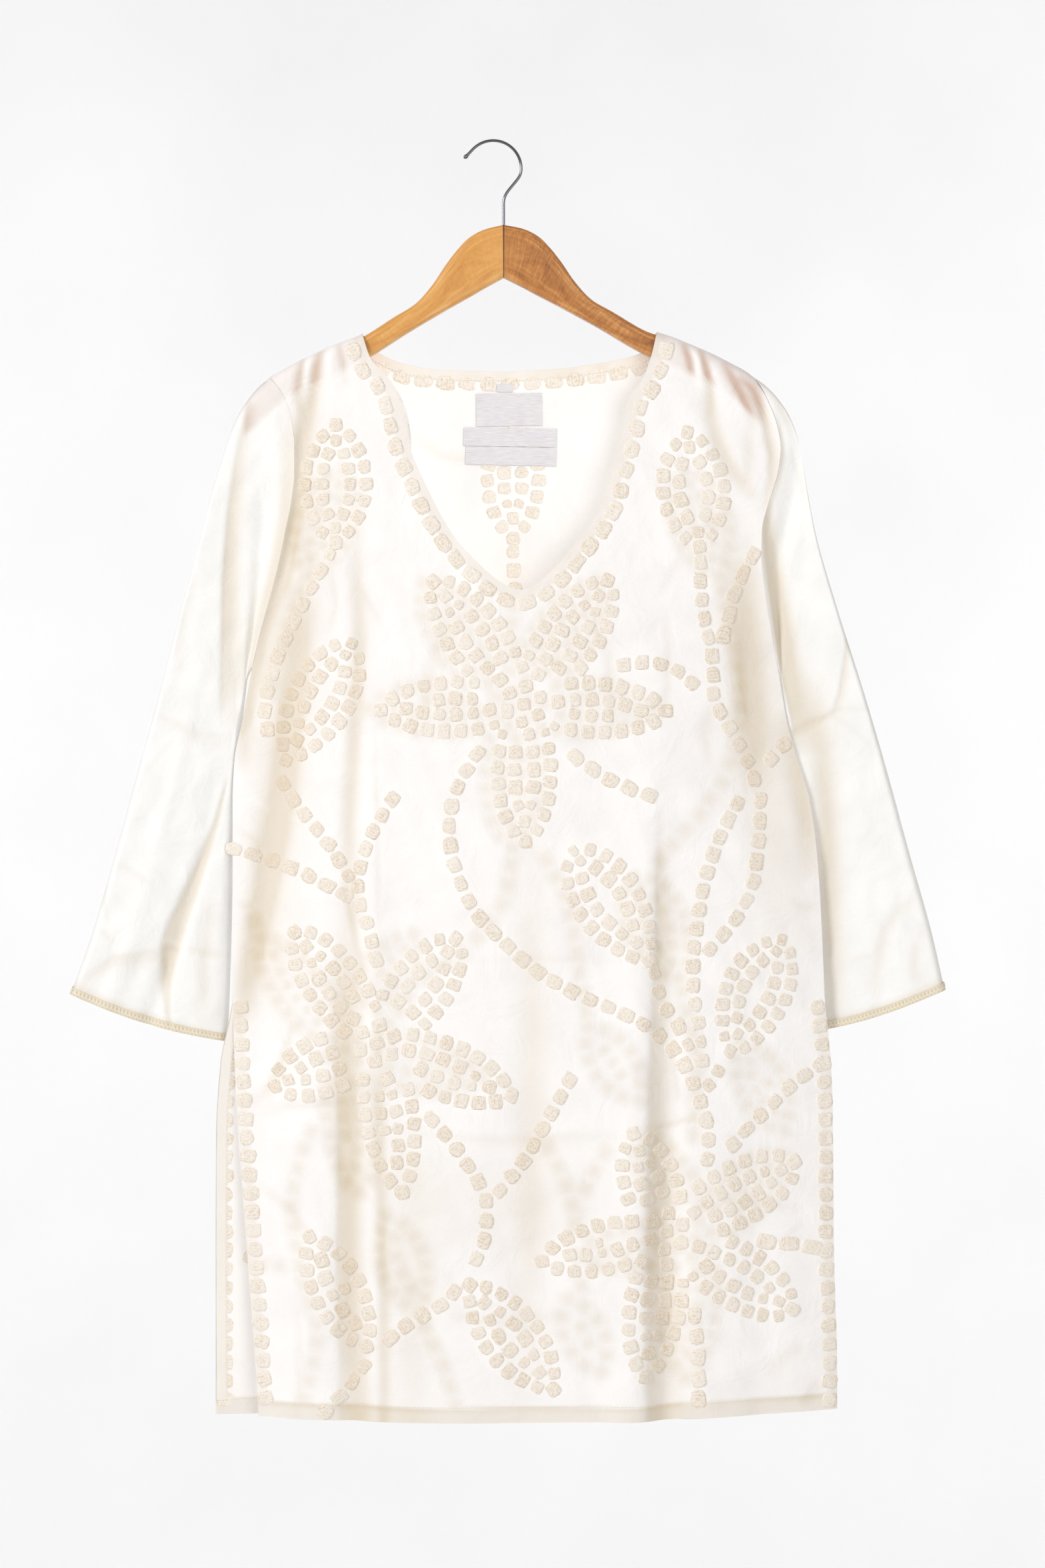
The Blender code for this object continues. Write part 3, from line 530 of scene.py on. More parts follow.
def panelGrid(panel):
    # rows of a panel from its top edge to its hem, close together where it turns over
    top = topEdge(panel)
    left, right = smooth(panel["sides"], top[:, 1])
    across = (top[:, 0] - left) / (right - left)
    near = np.array([0, 0.5, 1.1, 1.9, 3, 4.3, 5.8, 7.5, 9.6, 12, 14.8, 17.8, 20.8])
    fixed, foot = garment["fixedDrop"], garment["fullDrop"]
    drops = np.concatenate([near, np.arange(24, foot, garment["rowStep"]), [foot]])[:, None]
    full = top[:, 1] - smooth(panel["hem"], across)[0]
    stretched = fixed + (drops - fixed) * (full - fixed) / (drops[-1] - fixed)
    z = top[:, 1] - np.where(drops <= fixed, drops, stretched)
    even = crowded(len(top))
    spread = np.clip((drops - garment["evenFrom"]) / (garment["evenBy"] - garment["evenFrom"]), 0, 1)
    across = across + (even - across) * spread * spread * (3 - 2 * spread)
    left, right = smooth(panel["sides"], z)
    x = left + across * (right - left)
    y = panelY(x, z, panel)
    onNeck = (top[:, 0] > panel["neck"][0][0] + 1e-6) & (top[:, 0] < panel["neck"][-1][0] - 1e-6)
    y[0, ~onNeck] = panel["sign"] * garment["seamGap"] / 2
    return np.stack([x, y, z], axis=-1)


# sleeves: outer edge (x, z), underarm seam (x, y, z), folds and thickness as in the solids
leftSleeve = {
    "side": -1,
    "outer": ((-178.0, -188.0), (-188.4, -197.0), (-196.4, -207.0), (-202.7, -216.5),
              (-209.6, -232.0), (-214.9, -248.0), (-225.0, -280.0), (-232.8, -311.6),
              (-250.0, -375.0), (-266.5, -439.0), (-284.0, -502.0), (-301.5, -566.0),
              (-320.0, -630.0), (-337.4, -679.5)),
    "inner": ((-193.2, 0.0, -420.0), (-197.0, 2.4, -428.0), (-199.0, 5.5, -440.0),
              (-200.5, 8.0, -455.0), (-204.0, 10.5, -480.0), (-207.0, 11.5, -520.0),
              (-209.0, 12.0, -580.0), (-210.5, 12.5, -640.0), (-213.3, 13.5, -718.0)),
    "folds": ((0.42, 0.76, 1.0, 0.50, 0.06, 3.5), (0.25, 0.38, 1.0, 0.24, 0.07, -1.8)),
    "creases": (
        ("wedge", 17, 2.8, ((-211, -503), (-216, -520), (-223, -542), (-235, -570), (-247, -597),
            (-258, -620), (-268, -645))),
        ("wedge", 15, 2.4, ((-257, -712), (-258, -690), (-257, -668), (-250, -640))),
        ("stepLeft", 8, 1.4, ((-262, -636), (-265, -652), (-262, -676))),
        ("stepLeft", 14, 3.2, ((-196, -206), (-203, -236), (-208, -262), (-213, -300), (-217, -350),
            (-218, -400), (-219, -470))),
        ("stepRight", 12, 1.5, ((-338, -674), (-305, -648), (-268, -643), (-246, -641))),
        ("stepRight", 8, 0.9, ((-274, -452), (-250, -462), (-232, -470), (-208, -473))),
        ("soft", 3, 0.8, ((-305, -571), (-288, -582), (-270, -593))),
        ("soft", 3, 0.8, ((-320, -624), (-308, -632), (-300, -640))),
        ("soft", 3, 0.7, ((-310, -586), (-311, -604), (-306, -624))),
        ("soft", 3, -0.7, ((-280, -502), (-270, -490), (-258, -480))),
        ("soft", 3, 0.8, ((-250, -642), (-228, -648), (-206, -651))),
        ("soft", 8, 3.0, ((-160, -206), (-161, -262), (-164, -300), (-171, -335), (-180, -365),
            (-190, -402), (-197, -446))),
        ("soft", 6, -1.0, ((-232, -500), (-250, -540), (-268, -588))),
        ("soft", 7, 1.2, ((-226, -600), (-230, -650), (-232, -710))),
        ("soft", 5, 0.8, ((-236, -340), (-246, -380), (-250, -430))),
    ),
}
rightSleeve = {
    "side": 1,
    "outer": ((207.5, -188.0), (217.0, -195.0), (225.5, -204.0), (234.0, -216.5),
              (240.5, -232.0), (244.0, -248.0), (250.0, -280.0), (256.5, -311.6),
              (275.0, -375.0), (295.5, -439.0), (314.0, -502.0), (331.5, -566.0),
              (349.5, -630.0), (360.0, -676.0)),
    "inner": ((227.2, 0.0, -420.0), (229.2, 3.2, -428.0), (230.4, 6.5, -440.0),
              (232.4, 9.0, -455.0), (236.6, 11.0, -480.0), (243.0, 13.0, -520.0),
              (244.5, 16.0, -580.0), (243.5, 18.5, -640.0), (242.0, 20.0, -713.0)),
    "folds": ((0.30, 0.66, 1.0, 0.44, 0.08, 0.7), (0.50, 0.28, 1.0, 0.20, 0.07, -0.7)),
    "creases": (
        ("stepLeft", 15, 5.2, ((205, -250), (208, -280), (211, -305), (214, -332), (217.5, -356),
            (222, -386), (226, -412), (230, -434), (236, -460), (242, -492))),
        ("stepLeft", 6, 1.9, ((281, -384), (279, -410), (274, -440), (268, -460))),
        ("stepLeft", 6, 2.0, ((276, -450), (262, -457), (248, -463), (232, -471))),
        ("soft", 2.2, 0.6, ((268, -454), (284, -452), (304, -453))),
        ("soft", 2.4, 0.6, ((268, -456), (284, -466), (302, -482))),
        ("soft", 10, 3.0, ((254, -420), (261, -470), (266, -530), (268, -600), (270, -660), (271, -730))),
        ("soft", 6, 2.0, ((220, -214), (225, -232), (227, -252), (222, -276), (214, -294))),
        ("soft", 4, -1.0, ((232, -226), (237, -250), (242, -280))),
        ("soft", 3, 1.0, ((238, -244), (244, -268), (250, -296))),
        ("soft", 3, 1.3, ((216, -196), (226, -208), (234, -222), (240, -236))),
        ("soft", 5, 1.1, ((340, -672), (335, -660), (338, -640), (346, -622))),
        ("soft", 5, 1.2, ((303, -684), (307, -660), (311, -632), (322, -614), (338, -604))),
        ("soft", 4, -0.9, ((296, -590), (312, -582), (336, -572))),
        ("soft", 4, -0.8, ((322, -616), (330, -632), (344, -640))),
        ("stepRight", 8, 0.8, ((236, -601), (250, -605), (264, -608))),
        ("soft", 3, 0.6, ((284, -655), (296, -650), (306, -651))),
        ("soft", 7, -1.0, ((288, -500), (296, -560), (300, -640))),
    ),
}
sleeveBody = ((0.0, 9.5, 0.0), (0.08, 9.0, 0.0), (0.25, 9.5, 1.0), (0.6, 9.5, 3.0), (1.0, 8.5, 4.0))
sleeveForm = {"settles": 0.35, "outerRound": 6.0, "innerRound": 16.0, "sag": 5.0,
              "valleyDepth": 4.5, "valleyAt": 0.06, "rows": 190, "across": (66, 28)}


def sleevePoint(sleeve, share, down, onFront):
    # share runs from armhole to cuff, down from the outer edge to the underarm seam.
    # The point is on the straight line between the two edges, bulged out by a half thickness
    # that rounds to nothing at both edges, with the armhole's own curve fading along it.
    side, outer, inner = sleeve["side"], sleeve["outer"], sleeve["inner"]
    share, down = np.broadcast_arrays(share, down)
    halfThick, setBack = smooth(sleeveBody, share)
    top = along([(x, 0, z) for x, z in outer], share)
    top[..., 1] = setBack
    foot = along(inner, share)
    point = top + (foot - top) * down[..., None]
    point[..., 2] -= sleeveForm["sag"] * np.sin(math.pi * down) * share ** 3
    fades = np.clip(1 - share / sleeveForm["settles"], 0, 1) ** 2
    armholeZ = outer[0][1] - down * garment["underarmDrop"]
    panel = front if onFront else back
    left, right = smooth(panel["sides"], armholeZ)
    edge = left - garment["seamGap"] if side < 0 else right + garment["seamGap"]
    chord = outer[0][0] + (inner[0][0] - outer[0][0]) * down
    point[..., 0] += fades * (edge - chord)
    width = np.linalg.norm(foot - top, axis=-1)
    wall = turnIn(down * width, sleeveForm["outerRound"]) \
        * turnIn((1 - down) * width, sleeveForm["innerRound"])
    openEdge = smooth(panel["depth"], armholeZ)[0] \
        * turnIn(down * garment["underarmDrop"], garment["wrapRadius"])
    openEdge = openEdge * np.where(down > 1 - 1e-6, 0, 1)
    bulge = halfThick * wall
    bulge = bulge + (openEdge - bulge) * fades ** 3
    valley = np.exp(-((share - sleeveForm["valleyAt"]) / 0.035) ** 2) * np.clip(down * 4 - 0.6, 0, 1)
    valley = valley * np.clip((1 - down) * 5, 0, 1) * (share > 0)
    bulge = bulge - sleeveForm["valleyDepth"] * valley * (1.0 if onFront else 0.5)
    for fromShare, fromDown, toShare, toDown, halfWidth, depth in sleeve["folds"]:
        run = np.clip((share - fromShare) / (toShare - fromShare), 0, 1)
        middle = fromDown + (toDown - fromDown) * run
        bulge = bulge - depth * np.sin(run * math.pi / 2) \
            * np.exp(-((down - middle) / halfWidth) ** 2) * wall
    fine = garment["creaseGain"] * creaseDepth(point[..., 0], point[..., 2], sleeve["creases"]) \
        + crumple(point[..., 0], point[..., 2], 11 + side + 4 * onFront, 40, 0.5)
    bulge = bulge - fine * wall ** 2 * np.clip(share * 80, 0, 1)
    point[..., 1] += -bulge if onFront else bulge
    return point


def sleeveGrid(sleeve, shares):
    # closed rings: from the outer edge down the front and up the back
    halves = []
    for count in sleeveForm["across"]:
        turn = np.linspace(0, math.pi, count + 1)
        halves.append((0.5 - 0.5 * np.cos(turn)) * 0.35 + np.linspace(0, 1, len(turn)) * 0.65)
    frontHalf = sleevePoint(sleeve, shares[:, None], halves[0][None, :], True)
    backHalf = sleevePoint(sleeve, shares[:, None], halves[1][None, -2:0:-1], False)
    return np.concatenate([frontHalf, backHalf], axis=1)


def gridNormals(grid, closed=False):
    # unit normals from the differences between neighbours, on the side that gridQuads faces
    around = np.roll(grid, -1, axis=1) - np.roll(grid, 1, axis=1) if closed \
        else np.gradient(grid, axis=1)
    normals = np.cross(np.gradient(grid, axis=0), around)
    return normals / np.maximum(np.linalg.norm(normals, axis=-1, keepdims=True), 1e-9)


def sheetPiece(name, grid, wall, material, closed=False):
    # a sheet with its middle on the grid: two faces half a wall to each side along the
    # normals, and a rim that joins them along every open edge
    rows, columns = grid.shape[:2]
    away = gridNormals(grid, closed) * wall / 2
    both = np.concatenate([(grid + away).reshape(-1, 3), (grid - away).reshape(-1, 3)])
    quads = gridQuads(rows, columns, closed)
    count = rows * columns
    index = np.arange(count).reshape(rows, columns)
    edges = [index[0], index[-1, ::-1]]
    if closed:
        edges = [np.append(edge, edge[0]) for edge in edges]
    else:
        edges += [index[::-1, 0], index[:, -1]]
    rims = [np.stack([edge[:-1], edge[1:], edge[1:] + count, edge[:-1] + count], axis=-1)
            for edge in edges]
    return newMesh(name, both, [quads, quads[:, ::-1] + count] + rims, material)


blockWork = {
    "width": 11.6,          # mm across a block, from one column of a leaf to the next less its gap
    "pitch": 13.4,          # mm from block to block round a leaf
    "longest": 14.0,
    "gap": 2.4,
    "ringGap": 1.5,         # mm between one ring of a leaf and the next
    "columnUnder": 4.2,     # mm of half width below which a ring becomes one column
    "eye": (11.4, 10.8, 14.2, 23.5),        # block length and width, radius of its ring, reach
    "underEye": 16.0,       # mm that a petal's base runs past the flower's middle
    "nearest": 8.4,         # mm between the middles of two blocks of a motif
    "stemPitch": 15.4, "stemWidth": 11.4, "stemNearest": 10.0,
    "edgePitch": 15.1, "edgeSize": (12.2, 12.4),        # along the slits
    "neckPitch": 17.0, "neckWidth": 11.6,
    "smallest": 0.60, "crampedAt": 8.0, "freeAt": 12.6,     # size of blocks that stand close
    "height": 0.85,         # mm the thread stands out of the cloth
    "corner": (2.7, 4.4),   # from nearly round to nearly square
    "size": (0.93, 1.09), "uneven": 0.038, "rough": 0.11, "turned": 0.1,
    "straightRows": 0.6,    # share of blocks worked in straight rows, the rest go round
    "creaseShadeFull": 4.2,        # mm of crease at which a block takes half of the painted crease shade
    "turns": 16,
    "farthest": 13.0,       # mm from a block's middle that its tone on the other layer reaches
}

# leaf: tip, base, half width, share of its length where it is widest, bend
frontLeaves = (
    ((-125, -225), (-126, -323), 31.0, 0.50, 0),
    ((154, -231), (163, -326), 31.0, 0.50, 0),
    ((-112, -400), (-167, -496), 29.5, 0.42, 0),
    ((63, -564), (124, -654), 30.5, 0.42, 0),
    ((230, -635), (187, -727), 30.5, 0.45, -2),
    ((-147, -868), (-99, -960), 25.0, 0.50, 0),
    ((-20, -905), (49, -992), 27.5, 0.50, 0),
)
# flower: its centre, then its petals, each laid out as a leaf
frontFlowers = (
    ((23.8, -449), (((24.6, -560), 27.5, 0.45), ((-92, -453), 26.0, 0.46), ((139, -455), 26.0, 0.46),
                    ((-48, -350), 28.0, 0.42), ((92, -350), 28.0, 0.42))),
    ((-92, -717), (((-72, -838), 25.5, 0.48), ((16, -759), 27.0, 0.46), ((-28, -634), 28.5, 0.42),
                   ((-158, -628), 27.0, 0.42), ((-175, -752), 27.0, 0.42))),
    ((137, -866), (((119, -982), 27.0, 0.46), ((36, -889), 24.0, 0.46), ((110, -786), 27.0, 0.46),
                   ((240, -812), 28.0, 0.40), ((238, -930), 28.0, 0.40))),
)
frontStems = (
    ((-130, -330), (-150, -366), (-163, -391), (-176, -422), (-182, -452), (-177, -482), (-168, -510),
     (-151, -535), (-133, -557), (-115, -585)),
    ((-207, -564), (-176, -573), (-153, -582), (-118, -600)),
    ((-80, -524), (-97, -553), (-106, -583), (-107, -600), (-98, -629), (-93, -651)),
    ((164, -336), (164, -354), (168, -385), (174, -415), (175, -444), (188, -469), (202, -495),
     (207, -508)),
    ((206, -331), (193, -356), (185, -385), (178, -410)),
    ((103, -418), (124, -416), (141, -420), (155, -430), (167, -443)),
    ((231, -481), (207, -508), (190, -533), (176, -562), (167, -591), (162, -619), (158, -651), (159, -683),
     (164, -714), (165, -731)),
    ((127, -661), (133, -684), (147, -705), (154, -718)),
    ((-13, -488), (-29, -516), (-35, -540), (-32, -571), (-15, -612), (9, -638), (36, -661), (66, -678),
     (99, -692), (129, -709), (149, -731), (162, -759), (170, -790), (169, -809)),
    ((212, -525), (210, -560), (205, -593), (190, -622), (171, -643)),
    ((65, -491), (94, -510), (123, -521)),
    ((185, -728), (171, -749), (162, -761)),
    ((260, -735), (238, -750), (215, -772), (189, -798), (180, -810)),
    ((159, -932), (162, -963), (162, -998)),
    ((216, -875), (228, -876), (253, -880)),
    ((-6, -841), (-7, -871), (-19, -896), (-40, -922), (-66, -938), (-90, -958), (-114, -988),
     (-133, -1009)),
    ((-49, -777), (-30, -799), (-12, -826)),
    ((5, -833), (24, -810), (39, -784), (60, -746)),
)
backLeaves = (
    ((15.6, -220), (15.6, -318), 27.0, 0.50, 0),
    ((74, -702), (116, -764), 23.0, 0.48, 0),
    ((112, -584), (148, -668), 30.0, 0.45, 0),
    ((196, -716), (232, -790), 25.0, 0.48, 0),
    ((-84, -852), (-58, -932), 24.0, 0.48, 0),
    ((58, -916), (86, -978), 22.0, 0.50, 0),
    ((-118, -262), (-150, -350), 28.0, 0.45, 0),
    ((152, -262), (178, -350), 28.0, 0.45, 0),
)
backFlowers = (
    ((14, -452), (((14, -564), 27.5, 0.45), ((-100, -452), 26.0, 0.46), ((128, -452), 26.0, 0.46),
                  ((-56, -352), 28.0, 0.42), ((84, -352), 28.0, 0.42))),
    ((-118, -722), (((-106, -838), 26.0, 0.46), ((-8, -744), 26.5, 0.46), ((-62, -630), 27.0, 0.42),
                    ((-186, -634), 25.0, 0.42))),
    ((160, -872), (((152, -984), 26.0, 0.46), ((66, -884), 24.0, 0.46), ((118, -788), 26.0, 0.46),
                   ((230, -806), 26.0, 0.42))),
)
backStems = (
    ((15.6, -326), (16, -342), (17, -358), (15, -372), (14, -390), (14, -410), (14, -430)),
    ((14, -576), (4, -612), (-22, -642), (-52, -664)),
    ((-152, -358), (-166, -392), (-178, -430)),
    ((-190, -622), (-184, -646), (-176, -668)),
    ((180, -358), (190, -400), (196, -446), (186, -500), (160, -540), (132, -572)),
    ((150, -676), (158, -712), (160, -750), (158, -790)),
    ((42, -572), (58, -606), (66, -644), (73, -692)),
    ((-54, -940), (-40, -970), (-30, -1004)),
    ((70, -908), (64, -880), (64, -852), (56, -824), (44, -800)),
    ((68, -846), (76, -824), (88, -804)),
    ((-130, -760), (-150, -800), (-160, -850), (-152, -900), (-140, -950), (-150, -1000)),
    ((-196, -890), (-176, -896), (-158, -890)),
    ((236, -796), (226, -830), (196, -858)),
)


def leafWidth(share, half, widest):
    # a half sine whose crest is moved to the widest place, raised to 0.55 for a fuller leaf
    return half * np.maximum(np.sin(math.pi * share ** (math.log(0.5) / math.log(widest))), 0) ** 0.55


def pointsAt(path, at):
    # points at lengths along a flat path, on the straight lines between its own
    return np.stack([np.interp(at, travelled(path), path[:, k]) for k in (0, 1)], axis=-1)


def spaced(path, count, closed):
    # points evenly along a path: from its start if it is closed, else half a step in
    return pointsAt(path, (np.arange(count) + (0 if closed else 0.5)) / count * travelled(path)[-1])


def asBlocks(centres, tangents, length, width):
    # a row for each block: x, z, turn, length, width
    turn = np.arctan2(tangents[:, 1], tangents[:, 0])
    count = len(centres)
    return np.column_stack([centres, turn, np.full(count, length), np.full(count, width)])


def leafBlocks(tip, base, half, widest, bend=0.0):
    # rings of blocks laid one inside the other, each a block's width in from the last, till the
    # middle is full. A ring that closes on itself becomes one column down the middle.
    tip, base = np.array(tip, float), np.array(base, float)
    axis = (base - tip) / np.linalg.norm(base - tip)
    across = np.array([-axis[1], axis[0]])
    share = np.linspace(0, 1, 241)
    middle = tip + (base - tip) * share[:, None] + across * (bend * np.sin(math.pi * share))[:, None]
    step = blockWork["width"] + blockWork["ringGap"]
    found = []
    for ring in range(4):
        offset = leafWidth(share, half, widest) - (ring + 0.5) * step
        if offset.max() < -blockWork["ringGap"]:
            break
        kept = np.flatnonzero(offset > min(0.0, offset.max() - 1.0))
        kept = slice(kept[0], kept[-1] + 1)
        if offset.max() < blockWork["columnUnder"]:
            path = middle[kept]
            count = max(1, round(pathLength(path) / blockWork["pitch"]))
            centres = spaced(path, count, False)
            tangents = np.tile(axis, (count, 1))
            length = pathLength(path) / count
        else:
            sideways = across * np.maximum(offset[kept], 0)[:, None]
            path = np.vstack([middle[kept] - sideways, (middle[kept] + sideways)[::-1]])
            path = np.vstack([path, path[:1]])
            count = 2 * max(2, round(pathLength(path) / blockWork["pitch"] / 2))
            centres = spaced(path, count, True)
            tangents = np.roll(centres, -1, axis=0) - np.roll(centres, 1, axis=0)
            length = pathLength(path) / count
        length = min(length - blockWork["gap"], blockWork["longest"])
        found.append(asBlocks(centres, tangents, length, blockWork["width"]))
    return np.vstack(found)


def stemPath(points):
    # a smooth line through the points: cubic pieces with slopes from the neighbours
    points = np.array(points, float)
    knots = travelled(points)
    at = np.linspace(0, knots[-1], 40 * len(points))
    return hermite(knots, points, np.gradient(points, knots, axis=0), at)


def rowBlocks(path, pitch, width, length=None):
    # blocks evenly along a line, the first and last at its ends
    total = pathLength(path)
    count = max(2, round(total / pitch) + 1)
    centres = pointsAt(path, np.linspace(0, total, count))
    length = length or total / (count - 1) - blockWork["gap"]
    return asBlocks(centres, np.gradient(centres, axis=0), length, width)


def parted(blocks, nearest, keepFirst=1):
    # drops a block whose centre is too near one already kept
    kept = list(range(keepFirst))
    for index, centre in enumerate(blocks[:, :2]):
        if index >= keepFirst and np.linalg.norm(blocks[kept][:, :2] - centre, axis=1).min() > nearest:
            kept.append(index)
    return blocks[kept]


def acrossPath(path):
    # unit vectors square to a flat path, to the right of its run
    tangent = np.gradient(path, axis=0)
    tangent /= np.linalg.norm(tangent, axis=1, keepdims=True)
    return np.column_stack([tangent[:, 1], -tangent[:, 0]])


def offsetLine(path, away):
    # the same line, away mm to its right
    return path + acrossPath(path) * away


def neckRow(panel, away, start, stop):
    # a row that follows the neck edge, away mm into the cloth
    line = offsetLine(along(panel["neck"], np.linspace(0.0, 1.0, 400)), away)
    line = line[int(400 * start):int(400 * stop)]
    return rowBlocks(line, blockWork["neckPitch"], blockWork["neckWidth"])


def slitRow(panel, side, away, top, foot):
    # a row down a slit, away mm in from the panel's edge
    z = np.linspace(top, foot, 60)
    left, right = smooth(panel["sides"], z)
    x = left + away if side < 0 else right - away
    length, width = blockWork["edgeSize"]
    return rowBlocks(np.column_stack([x, z]), blockWork["edgePitch"], width, length)


def fitted(blocks):
    # blocks that stand close are worked smaller, so that cloth shows between them
    apart = np.linalg.norm(blocks[:, None, :2] - blocks[None, :, :2], axis=2)
    np.fill_diagonal(apart, np.inf)
    smallest, cramped = blockWork["smallest"], blockWork["crampedAt"]
    room = (apart.min(axis=1) - cramped) / (blockWork["freeAt"] - cramped)
    blocks = blocks.copy()
    blocks[:, 3:5] *= np.clip(smallest + (1 - smallest) * room, smallest, 1.0)[:, None]
    return blocks


def motifBlocks(leaves, flowers):
    # an eye of seven blocks, then each petal as a leaf whose base runs under the eye, cut
    # where it reaches the eye or comes nearer to another petal's middle than to its own
    found = []
    length, width, ringRadius, reach = blockWork["eye"]
    for centre, petals in flowers:
        centre = np.array(centre, float)
        spoke = np.arange(6) * math.pi / 3 + 0.4
        eye = np.vstack([centre, centre + ringRadius * np.column_stack([np.cos(spoke), np.sin(spoke)])])
        found.append(asBlocks(eye, np.tile([1.0, 0.2], (7, 1)), length, width))
        tips = np.array([petal[0] for petal in petals], float) - centre
        tips /= np.linalg.norm(tips, axis=1, keepdims=True)
        for index, (tip, half, widest) in enumerate(petals):
            blocks = leafBlocks(tip, centre - blockWork["underEye"] * tips[index], half, widest)
            away = blocks[:, :2] - centre
            own = (away @ tips.T).argmax(axis=1) == index
            found.append(blocks[(np.linalg.norm(away, axis=1) > reach) & own])
    found += [leafBlocks(*leaf) for leaf in leaves]
    return fitted(parted(np.vstack(found), blockWork["nearest"]))


def stemBlocks(stems, taken):
    # rows of blocks along the stems, without those that would touch the blocks already taken
    found = np.vstack([rowBlocks(stemPath(stem), blockWork["stemPitch"], blockWork["stemWidth"])
                       for stem in stems])
    found = parted(np.vstack([taken, found]), blockWork["stemNearest"], len(taken))
    return fitted(found)[len(taken):]


def blockTemplate(inner):
    # one block as rings about its middle: share of its size and share of its height. Three rows
    # of chain stitch stand up as ridges with a groove between them. The back of the work is
    # either the same (inner) or a low smooth back.
    face = ((0.17, 0.96), (0.34, 0.84), (0.5, 1.0), (0.66, 0.84), (0.83, 0.9), (0.95, 0.5))
    rings = [(0.0, 0.86)] + list(face) + [(1.0, 0.0)]
    behind = [(share, -0.8 * rise) for share, rise in face[::-1]] + [(0.0, -0.7)]
    if not inner:
        behind = [(0.6, -0.35), (0.0, -0.4)]
    return np.array(rings + behind)


def squared(wave, power):
    # a sine or cosine raised to a power with its sign kept: 1 is round, less is squarer
    return np.sign(wave) * np.abs(wave) ** power


def placed(centres, u, v, turn):
    # x and z of points u along and v across a piece turned by an angle about its centre
    return (centres[..., 0:1] + u * np.cos(turn) - v * np.sin(turn),
            centres[..., 1:2] + u * np.sin(turn) + v * np.cos(turn))


def blocksPiece(name, blocks, panel, material, inner=False, seed=5):
    # every block of a set in one mesh: template rings on a rounded rectangle, a little uneven in
    # size, corner and outline, laid over the panel and lifted along its normals
    local = np.random.default_rng(seed)
    rings = blockTemplate(inner)
    count, turns = len(blocks), blockWork["turns"]
    angle = np.arange(turns) * 2 * math.pi / turns + math.pi / turns
    share, rise = rings[1:-1, 0], rings[1:-1, 1]
    square = 2 / local.uniform(*blockWork["corner"], (count, 1, 1))
    cosine, sine = np.cos(angle), np.sin(angle)
    wobble = 1 + 0.035 * np.sin(2 * angle + local.uniform(0, 6.28, (count, 1, 1))) \
        + 0.03 * np.sin(3 * angle + local.uniform(0, 6.28, (count, 1, 1))) \
        + local.normal(0, blockWork["uneven"], (count, 1, turns))
    radius = share[:, None] * wobble
    half = blocks[:, 3:5] * local.uniform(*blockWork["size"], (count, 2)) / 2
    u = squared(cosine, square) * radius * half[:, 0, None, None]
    v = squared(sine, square) * radius * half[:, 1, None, None]
    h = rise[:, None] * (1 + local.normal(0, blockWork["rough"], (count, len(share), turns)))
    ends = ((0, 0), (0, 0), (rings[0, 1], rings[-1, 1]))
    u, v, h = [np.concatenate([np.full((count, 1), first), part.reshape(count, -1),
                               np.full((count, 1), last)], axis=1)
               for part, (first, last) in zip((u, v, h), ends)]
    turn = (blocks[:, 2] + local.normal(0, blockWork["turned"], count))[:, None]
    x, z = placed(blocks, u, v, turn)
    lift = h * blockWork["height"] + np.sign(h) * garment["clothWall"] / 2
    perBlock = u.shape[1]
    ring = np.arange(turns)
    sets = [gridQuads(len(share), turns, True) + 1, fan(0, 1 + ring),
            fan(perBlock - 1, perBlock - 1 - turns + ring)[:, ::-1]]
    offsets = (np.arange(count) * perBlock)[:, None, None]
    sets = [(faces + offsets).reshape(-1, faces.shape[1]) for faces in sets]
    if panel["sign"] > 0:
        sets = [faces[:, ::-1] for faces in sets]
    piece = newMesh(name, panelPoint(x, z, panel, lift), sets, material, 80)
    straight = (share[:, None] * np.abs(squared(cosine, 0.5))).ravel()
    setAttribute(piece, "ringShare", np.tile(np.concatenate([[0], np.repeat(share, turns), [0]]), count))
    setAttribute(piece, "acrossShare", np.tile(np.concatenate([[0], straight, [0]]), count))
    inRows = local.uniform(0, 1, count) < blockWork["straightRows"]
    setAttribute(piece, "parallel", np.repeat(inRows, perBlock))
    setAttribute(piece, "tint", np.repeat(local.uniform(0, 1, count), perBlock))
    # painted shade: a block that lies in a crease is darkened towards tan by the crease's depth
    sunk = creaseDepth(blocks[:, 0], blocks[:, 1], panel["creases"]) / blockWork["creaseShadeFull"]
    setAttribute(piece, "folded", np.repeat(0.5 * np.clip(sunk, 0, 1), perBlock))
    return piece


stitch = {"pitch": 2.9, "length": 2.1, "width": 0.55, "height": 0.3}


